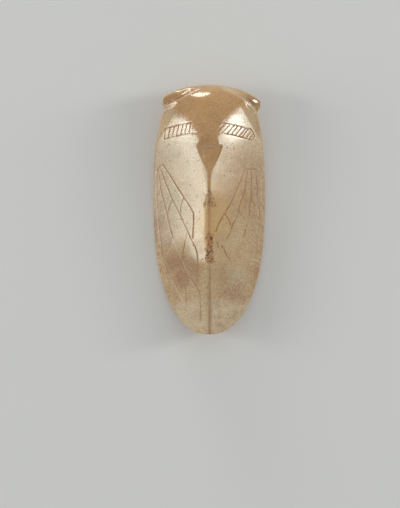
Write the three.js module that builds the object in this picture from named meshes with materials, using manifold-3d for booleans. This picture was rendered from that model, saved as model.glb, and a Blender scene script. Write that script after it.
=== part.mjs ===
// A jade cicada: one flat, boat-shaped carving that lies on its belly.
// Millimetres. +X is across, +Y points at the head, +Z is up. The origin is under the middle of it.
// Inside the functions a place is given as (x, s): x across, s along from the front of the head.

import * as THREE from 'three';
import { mergeVertices } from 'three/addons/utils/BufferGeometryUtils.js';
import Module from 'manifold-3d';

const wasm = await Module();
wasm.setup();

// Driving dimensions of the stone.
const LENGTH = 60;
const WIDTH = 26.6;
const HEIGHT = 13;

// The plan: the front of the head is one arc, and the eyes stand out at its two corners.
const HEAD_RADIUS = 20.3;
const WIDEST_AT = 0.422;
const TAIL_POWER = 2.6;
const FLANK_POWER = 2.5;
const EYES = {
  left: { corner: 0.817, tip: 0.838, tipAt: 0.073, notchAt: 0.094, pinch: 0.195 },
  right: { corner: 0.914, tip: 0.921, tipAt: 0.086, notchAt: 0.111, pinch: 0.145 },
};

// Heights above the flat of the belly.
const TAIL_HEIGHT = 8.15;
const NOSE_FALL = 6.2;
const NOSE_RUN = 3.3;
const CHIN_HEIGHT = 3.0;
const EYE_UNDER_HEIGHT = 5.9;
const CHIN_RUN = 6.0;
const RIM_LIFT = 0.4;
const RIM_RISE_HEAD = 4.35;
const RIM_RISE_EYE = 1.9;
const RIM_RISE_TAIL = 7.0;
const EDGE_BAND = 1.0;
const EDGE_BAND_HEAD = 0.5;
const EDGE_BAND_TAIL = 0.4;
const EDGE_BAND_TAIL_FROM = 0.75;
const EDGE_UNDERCUT = 0.3;

// The back: a roof whose slopes steepen outwards, rounded off to a dome over the head.
const ROOF_STRAIGHTNESS = 0.72;
const CREST_AT = 0.223;
const CREST_POWER = 1.4;
const DOME_ROUNDING = 5.2;
const RIDGE_ROUNDING = 0.12;
const DOME_FADE = 6.0;

// Behind each eye the flank turns down sooner, from a line that slants outwards and back.
const SHOULDER_AT = 0.556;
const SHOULDER_SLANT = 0.56;
const SHOULDER_SLOPE = 0.2;
const SHOULDER_RUN = 0.7;
const SHOULDER_FROM = 0.1;
const SHOULDER_FADE_IN = [0.067, 0.108];
const SHOULDER_FADE_OUT = [0.192, 0.25];

// The belly: a flat panel that narrows towards the head, with slopes out to the rim.
const PANEL_SHARE = 0.45;
const PANEL_FROM = 0.23;
const BELLY_SAG = 1.6;

// The three-cornered recess behind the collar, with a sloping apron cut off the crest before it.
const RECESS_AT = 0.26;
const RECESS_LENGTH = 6.6;
const RECESS_LEFT = 2.92;
const RECESS_RIGHT = 3.12;
const RECESS_DEPTH = 0.14;
const RECESS_HOLLOW = 0.05;
const RECESS_CLOSES = 0.98;
const RECESS_CLOSING_POWER = 1.25;
const STEP_RUN = 0.08;
const APRON_LENGTH = 2.8;
const APRON_MOUTH = 0.5;
const APRON_CROWN = 0.22;
const CUTTER_ABOVE = 1;
const CUTTER_PROUD = 0.02;

// Incised lines: width and depth of each kind.
const VEIN_CUT = { width: 0.5, depth: 0.24 };
const FAINT_VEIN_CUT = { width: 0.42, depth: 0.16 };
const COLLAR_CUT = { width: 0.42, depth: 0.16 };
const EYE_CUT = { width: 0.95, depth: 0.42 };
const NOSE_CUT = { width: 0.5, depth: 0.2 };
const BELLY_CUT = { width: 0.6, depth: 0.25 };

// The collar: two lines across the back, with slanted strokes between them.
const COLLAR_FRONT_AT = 0.164;
const COLLAR_REAR_AT = 0.2063;
const COLLAR_BOW = 0.009;
const COLLAR_TILT = 0.023;
const COLLAR_LEFT_END = 10.7;
const COLLAR_RIGHT_END = 10.2;
const COLLAR_LEFT_END_LEAN = 0.25;
const STROKES_LEFT = 6;
const STROKE_LEFT_FIRST = 9.9;
const STROKE_LEFT_STEP = 1.016;
const STROKE_LEFT_LEAN = 0.6;

// How finely the solid is faceted.
const COLUMNS = 28;
const FLANK_ROWS = 30;
const EYE_ROWS = 2;
const CUT_STEP = 2.6;
const TAIL_END_SHARE = 0.41;

const HALF_WIDTH = WIDTH / 2;
const WIDEST = WIDEST_AT * LENGTH;
const CREST = CREST_AT * LENGTH;

const clamp = (value, low, high) => Math.min(Math.max(value, low), high);
const mix = (a, b, share) => a + (b - a) * share;

// How far the front arc has run back at a distance x from the middle.
function frontArc(x) {
  const reach = Math.min(Math.abs(x), 0.99 * HEAD_RADIUS);
  return HEAD_RADIUS - Math.sqrt(HEAD_RADIUS ** 2 - reach ** 2);
}

// Half width of one flank: it pinches in towards the notch and closes to a round tail.
function flankWidth(side, s) {
  const notch = EYES[side].notchAt * LENGTH;
  if (s < WIDEST) {
    const ahead = (WIDEST - s) / (WIDEST - notch);
    return HALF_WIDTH * (1 - EYES[side].pinch * ahead ** FLANK_POWER);
  }
  const behind = clamp((s - WIDEST) / (LENGTH - WIDEST), 0, 1);
  return HALF_WIDTH * Math.sqrt(1 - behind ** TAIL_POWER);
}

// Half width used for heights: ahead of the notch the body keeps the width that it has there.
function bodyWidth(x, s) {
  const side = x < 0 ? 'left' : 'right';
  return flankWidth(side, Math.max(s, EYES[side].notchAt * LENGTH));
}

// Where the round tail's outline lies at a distance x from the middle.
function tailOutline(x) {
  const share = clamp(Math.abs(x) / HALF_WIDTH, 0, 1);
  return WIDEST + (LENGTH - WIDEST) * (1 - share ** 2) ** (1 / TAIL_POWER);
}

// Height of the crest line along the back, before the nose falls away.
function crestHeight(s) {
  const behind = clamp((s - CREST) / (LENGTH - CREST), 0, 1);
  return HEIGHT - (HEIGHT - TAIL_HEIGHT) * behind ** CREST_POWER;
}

// Height of the rim's lower edge: it rises like a bow at the head and like a prow at the tail.
function rimHeight(s) {
  const headward = clamp((s / LENGTH - 0.033) / 0.533, 0, 1);
  const tailward = clamp((s / LENGTH - 0.633) / 0.367, 0, 1);
  const head = RIM_RISE_HEAD * (0.5 + 0.5 * Math.cos(Math.PI * headward));
  const eye = RIM_RISE_EYE * Math.exp(-((s / LENGTH / 0.077) ** 2));
  const tail = RIM_RISE_TAIL * (1 - Math.sqrt(Math.max(1 - tailward ** 3.2, 0)));
  return RIM_LIFT + head + eye + tail;
}

// Height of the upright band round the edge.
function edgeBand(s) {
  const head = EDGE_BAND_HEAD * Math.exp(-((s / LENGTH / 0.133) ** 2));
  const tailward = clamp((s / LENGTH - EDGE_BAND_TAIL_FROM) / (1 - EDGE_BAND_TAIL_FROM), 0, 1);
  const tail = EDGE_BAND_TAIL * tailward ** 2;
  return EDGE_BAND + head - tail;
}

// A cubic step from 0 to 1 between two stations, given as shares of the length.
function fade([from, to], s) {
  const share = clamp((s / LENGTH - from) / (to - from), 0, 1);
  return share * share * (3 - 2 * share);
}

// How much lower the flank lies behind an eye: a slope that sets in softly past the slanting line.
function shoulderFall(x, s) {
  const line = SHOULDER_AT * HALF_WIDTH + SHOULDER_SLANT * (s - SHOULDER_FROM * LENGTH);
  const past = Math.max(Math.abs(x) - line, 0);
  const fall = SHOULDER_SLOPE * (past - SHOULDER_RUN * (1 - Math.exp(-past / SHOULDER_RUN)));
  return fall * fade(SHOULDER_FADE_IN, s) * (1 - fade(SHOULDER_FADE_OUT, s));
}

// Height of the back at any place.
function backHeight(x, s) {
  const half = Math.max(bodyWidth(x, s), 0.01);
  const domed = DOME_ROUNDING * Math.exp(-Math.max(s - 0.092 * LENGTH, 0) / DOME_FADE);
  const rounding = Math.max(domed, RIDGE_ROUNDING);
  const out = Math.hypot(Math.min(Math.abs(x), half), rounding) - rounding;
  const full = Math.hypot(half, rounding) - rounding;
  const share = out / full;
  const fall = ROOF_STRAIGHTNESS * share + (1 - ROOF_STRAIGHTNESS) * share ** 2;
  const behindFront = Math.max(s - frontArc(x), 0);
  const nose = NOSE_FALL * Math.exp(-behindFront / NOSE_RUN);
  const crest = crestHeight(s);
  const edge = rimHeight(s) + edgeBand(s);
  return edge + (crest - edge - nose) * (1 - fall) - shoulderFall(x, s);
}

// Height of the chin's edge under the front arc, from its middle out to the eyes.
function chinHeight(x) {
  const share = clamp(Math.abs(x) / (EYES.left.corner * HALF_WIDTH), 0, 1);
  return mix(CHIN_HEIGHT, EYE_UNDER_HEIGHT, Math.sin((Math.PI / 2) * share) ** 2);
}

// Height of the underside at any place: flat in the middle, sloping up to the rim and to the chin.
function bellyHeight(x, s) {
  const rim = rimHeight(s);
  const half = Math.max(bodyWidth(x, s), 0.01);
  const share = clamp(Math.abs(x) / half, 0, 1);
  const headward = clamp(1 - s / (PANEL_FROM * LENGTH), 0, 1);
  const tailward = Math.max(rim - BELLY_SAG * Math.sqrt(half / HALF_WIDTH), 0);
  const keel = s > WIDEST ? tailward : CHIN_HEIGHT * headward ** 1.6;
  const panel = PANEL_SHARE * clamp(s / (0.3 * LENGTH), 0.05, 1);
  const slope = clamp((share - panel) / (1 - panel), 0, 1);
  const under = mix(Math.min(keel, rim), rim, slope ** 1.15);
  const behindChin = clamp((s - frontArc(x)) / CHIN_RUN, 0, 1);
  return mix(chinHeight(x), under, behindChin * behindChin * (3 - 2 * behindChin));
}

// One side's outline from the eye's front corner round to the start of the tail's end.
function sideOutline(side) {
  const eye = EYES[side];
  const sign = side === 'left' ? -1 : 1;
  const corner = [eye.corner * HALF_WIDTH, frontArc(eye.corner * HALF_WIDTH)];
  const tip = [eye.tip * HALF_WIDTH, eye.tipAt * LENGTH];
  const notch = [flankWidth(side, eye.notchAt * LENGTH), eye.notchAt * LENGTH];
  const points = [];
  for (let i = 0; i < EYE_ROWS; i++) {
    points.push([mix(corner[0], tip[0], i / EYE_ROWS), mix(corner[1], tip[1], i / EYE_ROWS)]);
  }
  for (let i = 0; i < EYE_ROWS; i++) {
    points.push([mix(tip[0], notch[0], i / EYE_ROWS), mix(tip[1], notch[1], i / EYE_ROWS)]);
  }
  const last = tailOutline(TAIL_END_SHARE * HALF_WIDTH);
  for (let i = 0; i <= FLANK_ROWS; i++) {
    const s = mix(notch[1], last, Math.sin((i / FLANK_ROWS) * 0.46 * Math.PI) / Math.sin(0.46 * Math.PI));
    points.push([flankWidth(side, s), s]);
  }
  return points.map(([x, s]) => [sign * x, s]);
}

// A grid of places that fills the plan: its first row is the head's arc, its last the tail's end.
function planGrid() {
  const left = sideOutline('left');
  const right = sideOutline('right');
  const eyeRows = 2 * EYE_ROWS;
  const endHalf = TAIL_END_SHARE * HALF_WIDTH;
  const endBulge = (u) => tailOutline(endHalf * u) - tailOutline(endHalf);
  return left.map(([leftX, leftS], row) => {
    const [rightX, rightS] = right[row];
    const down = clamp((row - eyeRows) / FLANK_ROWS, 0, 1);
    const headBend = Math.max(1 - 1.9 * down, 0) ** 2;
    const tailBend = down ** 7;
    const places = [];
    for (let column = 0; column <= COLUMNS; column++) {
      const across = column / COLUMNS;
      const x = mix(leftX, rightX, across);
      const arcBow = frontArc(x) - mix(frontArc(leftX), frontArc(rightX), across);
      const tailBow = endBulge(2 * across - 1);
      places.push([x, mix(leftS, rightS, across) + headBend * arcBow + tailBend * tailBow]);
    }
    return places;
  });
}

const point = (x, s, z) => [x, LENGTH / 2 - s, z];

// A solid from points and triangles, with shared vertices merged.
function solidOf(points, triangles) {
  let geometry = new THREE.BufferGeometry();
  geometry.setAttribute('position', new THREE.Float32BufferAttribute(points.flat(), 3));
  geometry.setIndex(triangles.flat());
  geometry = mergeVertices(geometry, 1e-4);
  const mesh = new wasm.Mesh({
    numProp: 3,
    vertProperties: new Float32Array(geometry.attributes.position.array),
    triVerts: new Uint32Array(geometry.index.array),
  });
  return new wasm.Manifold(mesh);
}

// The uncut stone: a back grid, a belly grid, and the band round the edge between them.
function stone() {
  const grid = planGrid();
  const rows = grid.length - 1;
  const points = [];
  const triangles = [];
  const backAt = (row, column) => row * (COLUMNS + 1) + column;
  grid.flat().forEach(([x, s]) => points.push(point(x, s, backHeight(x, s))));
  const edge = [];
  for (let column = 0; column < COLUMNS; column++) edge.push([0, column]);
  for (let row = 0; row < rows; row++) edge.push([row, COLUMNS]);
  for (let column = COLUMNS; column > 0; column--) edge.push([rows, column]);
  for (let row = rows; row > 0; row--) edge.push([row, 0]);
  const undercut = 1 - EDGE_UNDERCUT / HALF_WIDTH;
  const bellyBase = points.length;
  grid.forEach((places, row) => places.forEach(([x, s], column) => {
    const onEdge = row === 0 || row === rows || column === 0 || column === COLUMNS;
    const rim = row === 0 ? chinHeight(x) : rimHeight(s);
    points.push(point(x * undercut, mix(LENGTH / 2, s, undercut), onEdge ? rim : bellyHeight(x, s)));
  }));
  for (let row = 0; row < rows; row++) {
    for (let column = 0; column < COLUMNS; column++) {
      const corners = [[0, 0], [1, 0], [0, 1], [1, 1]].map(([r, c]) => backAt(row + r, column + c));
      const [a, b, c, d] = corners;
      triangles.push([a, b, c], [c, b, d]);
      const [e, f, g, h] = corners.map((index) => index + bellyBase);
      triangles.push([e, g, f], [g, h, f]);
    }
  }
  edge.forEach((place, i) => {
    const next = edge[(i + 1) % edge.length];
    const top = backAt(...place);
    const topNext = backAt(...next);
    const low = top + bellyBase;
    const lowNext = topNext + bellyBase;
    triangles.push([top, topNext, lowNext], [top, lowNext, low]);
  });
  return solidOf(points, triangles);
}

// A closed tube of equal rings, whose ends are flat fans.
function loft(rings) {
  const count = rings[0].length;
  const triangles = [];
  for (let i = 0; i + 1 < rings.length; i++) {
    for (let k = 0; k < count; k++) {
      const a = i * count + k;
      const b = i * count + ((k + 1) % count);
      triangles.push([a, b + count, b], [a, a + count, b + count]);
    }
  }
  const last = (rings.length - 1) * count;
  for (let k = 1; k + 1 < count; k++) {
    triangles.push([0, k, k + 1], [last, last + k + 1, last + k]);
  }
  return solidOf(rings.flat(), triangles);
}

// Points along a bent line, no further apart than the cutting step.
function spaced(line) {
  const places = [line[0]];
  for (let i = 0; i + 1 < line.length; i++) {
    const [from, to] = [line[i], line[i + 1]];
    const pieces = Math.max(1, Math.ceil(Math.hypot(to[0] - from[0], to[1] - from[1]) / CUT_STEP));
    for (let k = 1; k <= pieces; k++) {
      places.push([mix(from[0], to[0], k / pieces), mix(from[1], to[1], k / pieces)]);
    }
  }
  return places;
}

// The V-shaped chip that a cut takes out of a surface along a line.
function chip(line, cut, height, inward) {
  const places = spaced(line);
  const rings = places.map(([x, s], i) => {
    const before = places[Math.max(i - 1, 0)];
    const after = places[Math.min(i + 1, places.length - 1)];
    const run = Math.hypot(after[0] - before[0], after[1] - before[1]);
    const sideX = ((after[1] - before[1]) / run) * (cut.width / 2);
    const sideS = (-(after[0] - before[0]) / run) * (cut.width / 2);
    const root = point(x, s, height(x, s) + inward * cut.depth);
    const lips = [1, -1].map((hand) => {
      const lip = point(x + hand * sideX, s + hand * sideS, height(x + hand * sideX, s + hand * sideS));
      return lip.map((value, axis) => root[axis] + 2 * (value - root[axis]));
    });
    return inward < 0 ? [root, lips[1], lips[0]] : [root, lips[0], lips[1]];
  });
  return loft(rings);
}

// A place on a wing, as shares of the half width and of the length, in hundredths.
const onWing = ([across, along]) => [(across / 100) * HALF_WIDTH, (along / 100) * LENGTH];

// Veins of the left wing: four long ones from a point near the edge, and the short ones between.
const LEFT_VEINS = [
  [[-83.7, 31.8], [-56.2, 41.9], [-27.8, 52.4], [-27.8, 54.3], [-29.6, 62.2]],
  [[-87.4, 33.5], [-75.0, 40.9], [-55.0, 51.3], [-38.9, 59.2], [-25.3, 65.5], [-20.4, 71.3], [-21.3, 80.4]],
  [[-89.9, 35.9], [-86.2, 42.2], [-75.0, 52.1], [-64.9, 61.4], [-47.5, 71.1], [-35.8, 76.8], [-23.9, 80.5],
    [-16.5, 83.7], [-15.9, 94.4]],
  [[-83.7, 31.8], [-94.0, 33.9], [-94.4, 44.2], [-90.7, 56.0], [-81.7, 68.9], [-68.9, 77.3], [-53.8, 83.8],
    [-29.0, 91.8], [-13.3, 95.6]],
  [[-46.4, 46.0], [-51.3, 49.2], [-51.9, 52.7]],
  [[-66.2, 46.1], [-74.1, 50.8]],
  [[-40.2, 59.8], [-45.8, 66.0], [-49.0, 69.9]],
  [[-88.4, 41.2], [-94.2, 44.1]],
  [[-66.6, 60.9], [-81.7, 70.1]],
  [[-35.8, 76.8], [-41.1, 79.9], [-41.8, 87.8]],
];

// Veins of the right wing, cut more lightly and laid out a little differently.
const RIGHT_VEINS = [
  [[64.2, 34.3], [56.1, 39.0], [42.4, 46.4], [27.5, 52.4], [12.6, 59.7], [14.5, 64.2], [26.2, 66.3],
    [36.8, 70.5]],
  [[64.2, 34.3], [79.8, 33.9]],
  [[68.5, 34.9], [61.7, 44.6], [52.3, 51.1], [41.8, 56.4], [31.2, 62.4]],
  [[28.7, 52.7], [38.0, 56.8]],
  [[53.6, 51.3], [64.2, 54.0]],
  [[75.5, 35.0], [74.8, 45.8], [71.7, 52.2], [61.7, 60.7], [49.4, 70.1], [36.0, 76.8], [24.0, 80.9],
    [11.3, 85.0], [8.6, 97.0]],
  [[74.8, 45.8], [82.9, 48.1]],
  [[84.2, 36.0], [86.1, 43.9], [90.5, 53.6], [81.2, 68.8], [68.4, 77.3], [53.4, 83.8], [28.6, 91.7],
    [10.5, 96.0]],
];

// Strokes in the collar's right half, uneven, up to a short curve that ends it. Each place is how far
// across it lies and the share of the way from the collar's rear line to its front line.
const RIGHT_STROKES = [
  [[2.1, 0.15], [3.55, 0.82]],
  [[2.9, 0], [5.05, 1]],
  [[4.1, 0], [5.95, 0.96]],
  [[5.15, 0], [6.85, 1]],
  [[6.1, 0], [7.8, 1]],
  [[7.1, 0], [8.8, 1]],
  [[7.75, 0], [9.3, 0.93]],
  [[8.75, 0.05], [9.85, 0.78]],
  [[9.5, 0.04], [10.45, 0.65]],
  [[9.85, 1.07], [10.65, 0.69], [10.8, 0.46], [10.45, 0.14]],
];

// Eye grooves run up from each notch beside the front arc, and a short line leads on to the nose.
const EYE_LINES = [
  [[-81.4, 8.3], [-71.9, 7.35], [-62.4, 6.4], [-44.4, 4.8], [-30.0, 2.7]],
  [[86.5, 10.2], [73.7, 8.1], [64.7, 6.6], [51.9, 5.5], [41.0, 4.1]],
];
const NOSE_LINES = [[[-30.8, 4.6], [-19.5, 3.0], [-8.0, 1.5]]];

// The belly, plain: a beak line, a V under the throat and arcs for the abdomen's rings.
const RING_FIRST = 0.62;
const RING_STEP = 0.055;
const RINGS = 5;
const RING_REACH = 0.42;
const THROAT = [[[-45.0, 20.0], [0.0, 33.0], [45.0, 20.0]], [[0.0, 7.0], [0.0, 30.0]]];

function ringLine(index) {
  const s = (RING_FIRST + index * RING_STEP) * LENGTH;
  const reach = RING_REACH * flankWidth('left', s);
  return [-1, -0.5, 0, 0.5, 1].map((u) => [u * reach, s - 0.02 * LENGTH * u * u]);
}

// The collar's two lines bow back towards the flanks and lie a little askew.
const collarBend = (x) => COLLAR_BOW * x * x + COLLAR_TILT * x;
const collarFront = (x) => COLLAR_FRONT_AT * LENGTH + collarBend(x);
const collarRear = (x) => COLLAR_REAR_AT * LENGTH + collarBend(x);
const inCollar = ([x, share]) => [x, mix(collarRear(x), collarFront(x), share)];

function collarLines() {
  const lines = [collarFront, collarRear].map((line) => {
    const places = [];
    for (let k = 0; k <= 8; k++) {
      const x = mix(-COLLAR_LEFT_END, COLLAR_RIGHT_END, k / 8);
      places.push([x, line(x)]);
    }
    return places;
  });
  const stroke = (foot, lean) => {
    const top = foot + lean;
    lines.push([[foot, collarRear(foot)], [top, collarFront(top)]]);
  };
  stroke(-COLLAR_LEFT_END, COLLAR_LEFT_END_LEAN);
  for (let k = 0; k < STROKES_LEFT; k++) {
    stroke(k * STROKE_LEFT_STEP - STROKE_LEFT_FIRST, STROKE_LEFT_LEAN);
  }
  return [...lines, ...RIGHT_STROKES.map((line) => line.map(inCollar))];
}

// One cross-section of the recess's cutter: two sides, a floor of two slopes and a flat top.
function recessRing(s, open, floor) {
  const [left, right] = [-RECESS_LEFT * open, RECESS_RIGHT * open];
  const above = HEIGHT + CUTTER_ABOVE;
  return [
    point(left, s, floor(left)), point(0, s, floor(0)), point(right, s, floor(right)),
    point(right, s, above), point(left, s, above),
  ].reverse();
}

// The recess: the apron slopes down to a small step, and behind it the floor narrows to the ridge.
function recessCutter() {
  const front = RECESS_AT * LENGTH;
  const mouth = front - APRON_LENGTH;
  const apron = (x) => {
    if (x === 0) return backHeight(RECESS_RIGHT, front) + APRON_CROWN;
    return backHeight(x, front) + CUTTER_PROUD;
  };
  const rings = [
    recessRing(mouth, APRON_MOUTH, (x) => backHeight(x, mouth) + CUTTER_PROUD),
    recessRing(front, 1, apron),
  ];
  for (let k = 0; k <= 6; k++) {
    const share = k / 6;
    const s = front + STEP_RUN + share * RECESS_LENGTH;
    const open = 1 - RECESS_CLOSES * share ** RECESS_CLOSING_POWER;
    const edges = (backHeight(-RECESS_LEFT * open, s) + backHeight(RECESS_RIGHT * open, s)) / 2;
    const floor = (x) => (x === 0 ? edges - RECESS_HOLLOW * open : backHeight(x, s));
    rings.push(recessRing(s, open, (x) => floor(x) - RECESS_DEPTH));
  }
  return loft(rings);
}

function cicada() {
  const cuts = [
    ...LEFT_VEINS.map((line) => chip(line.map(onWing), VEIN_CUT, backHeight, -1)),
    ...RIGHT_VEINS.map((line) => chip(line.map(onWing), FAINT_VEIN_CUT, backHeight, -1)),
    ...collarLines().map((line) => chip(line, COLLAR_CUT, backHeight, -1)),
    ...EYE_LINES.map((line) => chip(line.map(onWing), EYE_CUT, backHeight, -1)),
    ...NOSE_LINES.map((line) => chip(line.map(onWing), NOSE_CUT, backHeight, -1)),
    ...THROAT.map((line) => chip(line.map(onWing), BELLY_CUT, bellyHeight, 1)),
    ...Array.from({ length: RINGS }, (_, k) => chip(ringLine(k), BELLY_CUT, bellyHeight, 1)),
    recessCutter(),
  ];
  return cuts.reduce((solid, cut) => solid.subtract(cut), stone());
}

function geometryOf(solid) {
  const mesh = solid.getMesh();
  const geometry = new THREE.BufferGeometry();
  geometry.setAttribute('position', new THREE.BufferAttribute(new Float32Array(mesh.vertProperties), 3));
  geometry.setIndex(new THREE.BufferAttribute(new Uint32Array(mesh.triVerts), 1));
  geometry.computeVertexNormals();
  return geometry;
}

const jade = new THREE.MeshStandardMaterial({ color: 0xcdb68c, roughness: 0.3, metalness: 0 });
const body = new THREE.Mesh(geometryOf(cicada()), jade);
body.name = 'cicada';

const model = new THREE.Group();
model.add(body);

export default model;
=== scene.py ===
# %% [markdown]
# # A carved jade cicada
# The real thing is one flat pebble of jade, cut into a cicada with folded wings and polished.
# Its back is a ridged roof that rounds into a dome over the head. Everything else is cut into
# that skin: eye grooves, a hatched collar, a three-cornered recess and the veins of the wings.
# It could be sculpted by hand, or cut out with Booleans. But nothing on its back overhangs, so the
# whole piece can be one height function over its plan, and every cut is one more term in it.
# The stone's sizes are in millimetres, and MM makes metres of them. The camera, the floor, the
# lamps and the textures are in Blender's own metres.

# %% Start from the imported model
import math

import bpy
import numpy as np
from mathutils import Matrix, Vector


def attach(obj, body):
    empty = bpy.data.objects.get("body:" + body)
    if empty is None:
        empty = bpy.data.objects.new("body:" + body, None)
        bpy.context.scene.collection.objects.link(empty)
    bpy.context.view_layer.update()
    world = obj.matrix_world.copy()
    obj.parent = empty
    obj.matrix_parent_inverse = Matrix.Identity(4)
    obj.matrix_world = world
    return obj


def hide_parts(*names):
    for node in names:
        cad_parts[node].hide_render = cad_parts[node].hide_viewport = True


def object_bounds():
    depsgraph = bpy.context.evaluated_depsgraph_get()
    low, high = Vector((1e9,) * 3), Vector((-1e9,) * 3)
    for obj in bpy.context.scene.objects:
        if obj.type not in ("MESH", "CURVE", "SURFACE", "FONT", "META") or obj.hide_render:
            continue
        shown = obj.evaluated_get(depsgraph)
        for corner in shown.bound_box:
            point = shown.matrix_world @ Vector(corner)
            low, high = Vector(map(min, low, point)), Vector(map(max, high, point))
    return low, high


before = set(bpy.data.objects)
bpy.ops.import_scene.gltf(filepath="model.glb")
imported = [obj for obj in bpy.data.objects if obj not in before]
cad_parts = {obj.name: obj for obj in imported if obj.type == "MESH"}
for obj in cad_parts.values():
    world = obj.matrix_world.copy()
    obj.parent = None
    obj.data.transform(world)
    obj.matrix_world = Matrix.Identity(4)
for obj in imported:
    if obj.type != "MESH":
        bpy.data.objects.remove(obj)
cad_low, cad_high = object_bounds()
LENGTH = 60.0
MM = (cad_high.y - cad_low.y) / LENGTH
HALF_WIDTH = (cad_high.x - cad_low.x) / 2 / MM
print(f"stone: {LENGTH} by {2 * HALF_WIDTH:.1f} mm, one of its millimetres is {MM:.6f} m")

# %% [markdown]
# ## The camera comes first
# The photo looks almost straight down on the back, tipped a few degrees towards the tail, through
# a long lens. An orthographic camera would come close, but a real lens has a little perspective,
# so this one stands far off with a narrow view. It aims a little beside the stone, which puts the
# stone in the photo's place, above the picture's middle.

# %% Camera
PICTURE_HEIGHT = 508
MM_PER_PIXEL = 0.2386
TIP_TO_TAIL = math.radians(7.3)
CAMERA_DISTANCE = 1.1
LONG_SIDE_SENSOR = 36.0
CLIP_NEAR = 0.05
CLIP_FAR = 10.0
AIM_X = -2.2
AIM_Y = -9.9


def make_camera():
    """A camera on a line tipped towards the tail, whose long side spans the photo's height."""
    data = bpy.data.cameras.new("view_from_above")
    camera = bpy.data.objects.new("view_from_above", data)
    bpy.context.scene.collection.objects.link(camera)
    picture_height = PICTURE_HEIGHT * MM_PER_PIXEL * MM
    data.sensor_width = LONG_SIDE_SENSOR
    data.lens = LONG_SIDE_SENSOR * CAMERA_DISTANCE / picture_height
    data.clip_start = CLIP_NEAR
    data.clip_end = CLIP_FAR
    back = np.array([0.0, -math.sin(TIP_TO_TAIL), math.cos(TIP_TO_TAIL)])
    aim = np.array([AIM_X * MM, AIM_Y * MM, 0.0])
    camera.location = aim + back * CAMERA_DISTANCE
    camera.rotation_euler = (TIP_TO_TAIL, 0.0, 0.0)
    bpy.context.scene.camera = camera
    print(f"camera: {data.lens:.0f} mm lens at {CAMERA_DISTANCE} m")


make_camera()

# %% [markdown]
# ## The plan
# A place on the stone is (x, s): x across and s along, from the front of the head to the tail.
# The head ends in one arc. The eyes stand out at its two corners, and behind each is a notch.
# The flanks swell to the widest line and close to a round tail. A curve drawn by hand would do,
# but formulas with a few named sizes can be read, measured and mended one at a time.

# %% Curves that the whole stone uses
def mix(a, b, share):
    """A value a share of the way from a to b."""
    return a + (b - a) * share


def ramp(low, high, value):
    """0 below low, 1 above high, and a smooth S between. With low above high it falls instead."""
    t = np.clip((value - low) / (high - low), 0.0, 1.0)
    return t * t * (3.0 - 2.0 * t)


def stretch(rise, fall, value):
    """1 along a stretch, with a smooth rise at its start and a smooth fall at its end."""
    return ramp(*rise, value) * ramp(*fall, value)


def softened(value, width):
    """The value where it is above nothing, else nothing, with the bend rounded over a width."""
    return 0.5 * (value + np.sqrt(value**2 + width**2))


print(f"a ramp from 0 to 1 has climbed to {ramp(0.0, 1.0, 0.25):.3f} a quarter of the way")

# %% Outline
HEAD_RADIUS = 20.3
ARC_REACH = 0.99 * HEAD_RADIUS
WIDEST = 25.32
TAIL_POWER = 2.6
FLANK_POWER = 2.5
NOTCH_SOFTNESS = 0.8
LEAST_WIDTH = 0.01
LEFT_EYE = {"corner": 10.87, "tip": 11.15, "tip_at": 4.38, "notch_at": 5.64, "pinch": 0.195}
RIGHT_EYE = {"corner": 12.16, "tip": 12.25, "tip_at": 5.16, "notch_at": 6.66, "pinch": 0.145}


def front_arc(x):
    """How far the head's arc has run back at x: R minus the root of R squared less x squared."""
    reach = np.minimum(np.abs(x), ARC_REACH)
    return HEAD_RADIUS - np.sqrt(HEAD_RADIUS**2 - reach**2)


def flank_width(eye, s):
    """Half width of a flank: a power curve from notch to widest line, then a superellipse."""
    ahead = np.clip((WIDEST - s) / (WIDEST - eye["notch_at"]), 0.0, None)
    behind = np.clip((s - WIDEST) / (LENGTH - WIDEST), 0.0, 1.0)
    front = 1.0 - eye["pinch"] * ahead**FLANK_POWER
    return HALF_WIDTH * np.where(s < WIDEST, front, np.sqrt(1.0 - behind**TAIL_POWER))


def body_width(x, s):
    """Half width for heights: ahead of the notch the body keeps the width it has there."""
    sides = []
    for eye in (LEFT_EYE, RIGHT_EYE):
        behind = softened(s - eye["notch_at"], NOTCH_SOFTNESS)
        sides.append(flank_width(eye, eye["notch_at"] + behind))
    return np.maximum(np.where(x < 0.0, sides[0], sides[1]), LEAST_WIDTH)


def tail_outline(x):
    """Where the tail's superellipse lies at x."""
    share = np.clip(np.abs(x) / HALF_WIDTH, 0.0, 1.0)
    return WIDEST + (LENGTH - WIDEST) * (1.0 - share**2) ** (1.0 / TAIL_POWER)


eye_reach = f"{LEFT_EYE['tip']} and {RIGHT_EYE['tip']} mm"
print(f"outline: eyes reach {eye_reach} to the sides, the flanks {HALF_WIDTH:.1f} mm")

# %% [markdown]
# ## The heights
# The crest sinks slowly to the tail. The rim rises to a bow at the head and a prow at the tail,
# so the stone rocks like a boat but for the flat of its belly. Between crest and rim the back
# falls like a roof that steepens outwards. A hyperbola rounds the roof's ridge off, tightly over
# the wings and widely over the head. Behind each eye the flank turns down a little sooner. A
# subdivision cage could give such a form too, but formulas without kinks keep the reflections
# smooth, and those show every bend in a polished stone.

# %% Crest and rim
CREST_HEIGHT = 13.0
CREST_AT = 13.4
CREST_POWER = 1.4
TAIL_HEIGHT = 8.15
RIM_LIFT = 0.4
HEAD_RISE = {"from": 2.0, "run": 32.0, "height": 4.35}
EYE_RISE = {"reach": 4.62, "height": 1.9}
TAIL_RISE = {"from": 38.0, "run": 22.0, "height": 7.0, "power": 3.2}


def crest_height(s):
    """The crest: level to the collar, then sinking with a power of the distance behind it."""
    behind = np.clip((s - CREST_AT) / (LENGTH - CREST_AT), 0.0, 1.0)
    return CREST_HEIGHT - (CREST_HEIGHT - TAIL_HEIGHT) * behind**CREST_POWER


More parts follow.
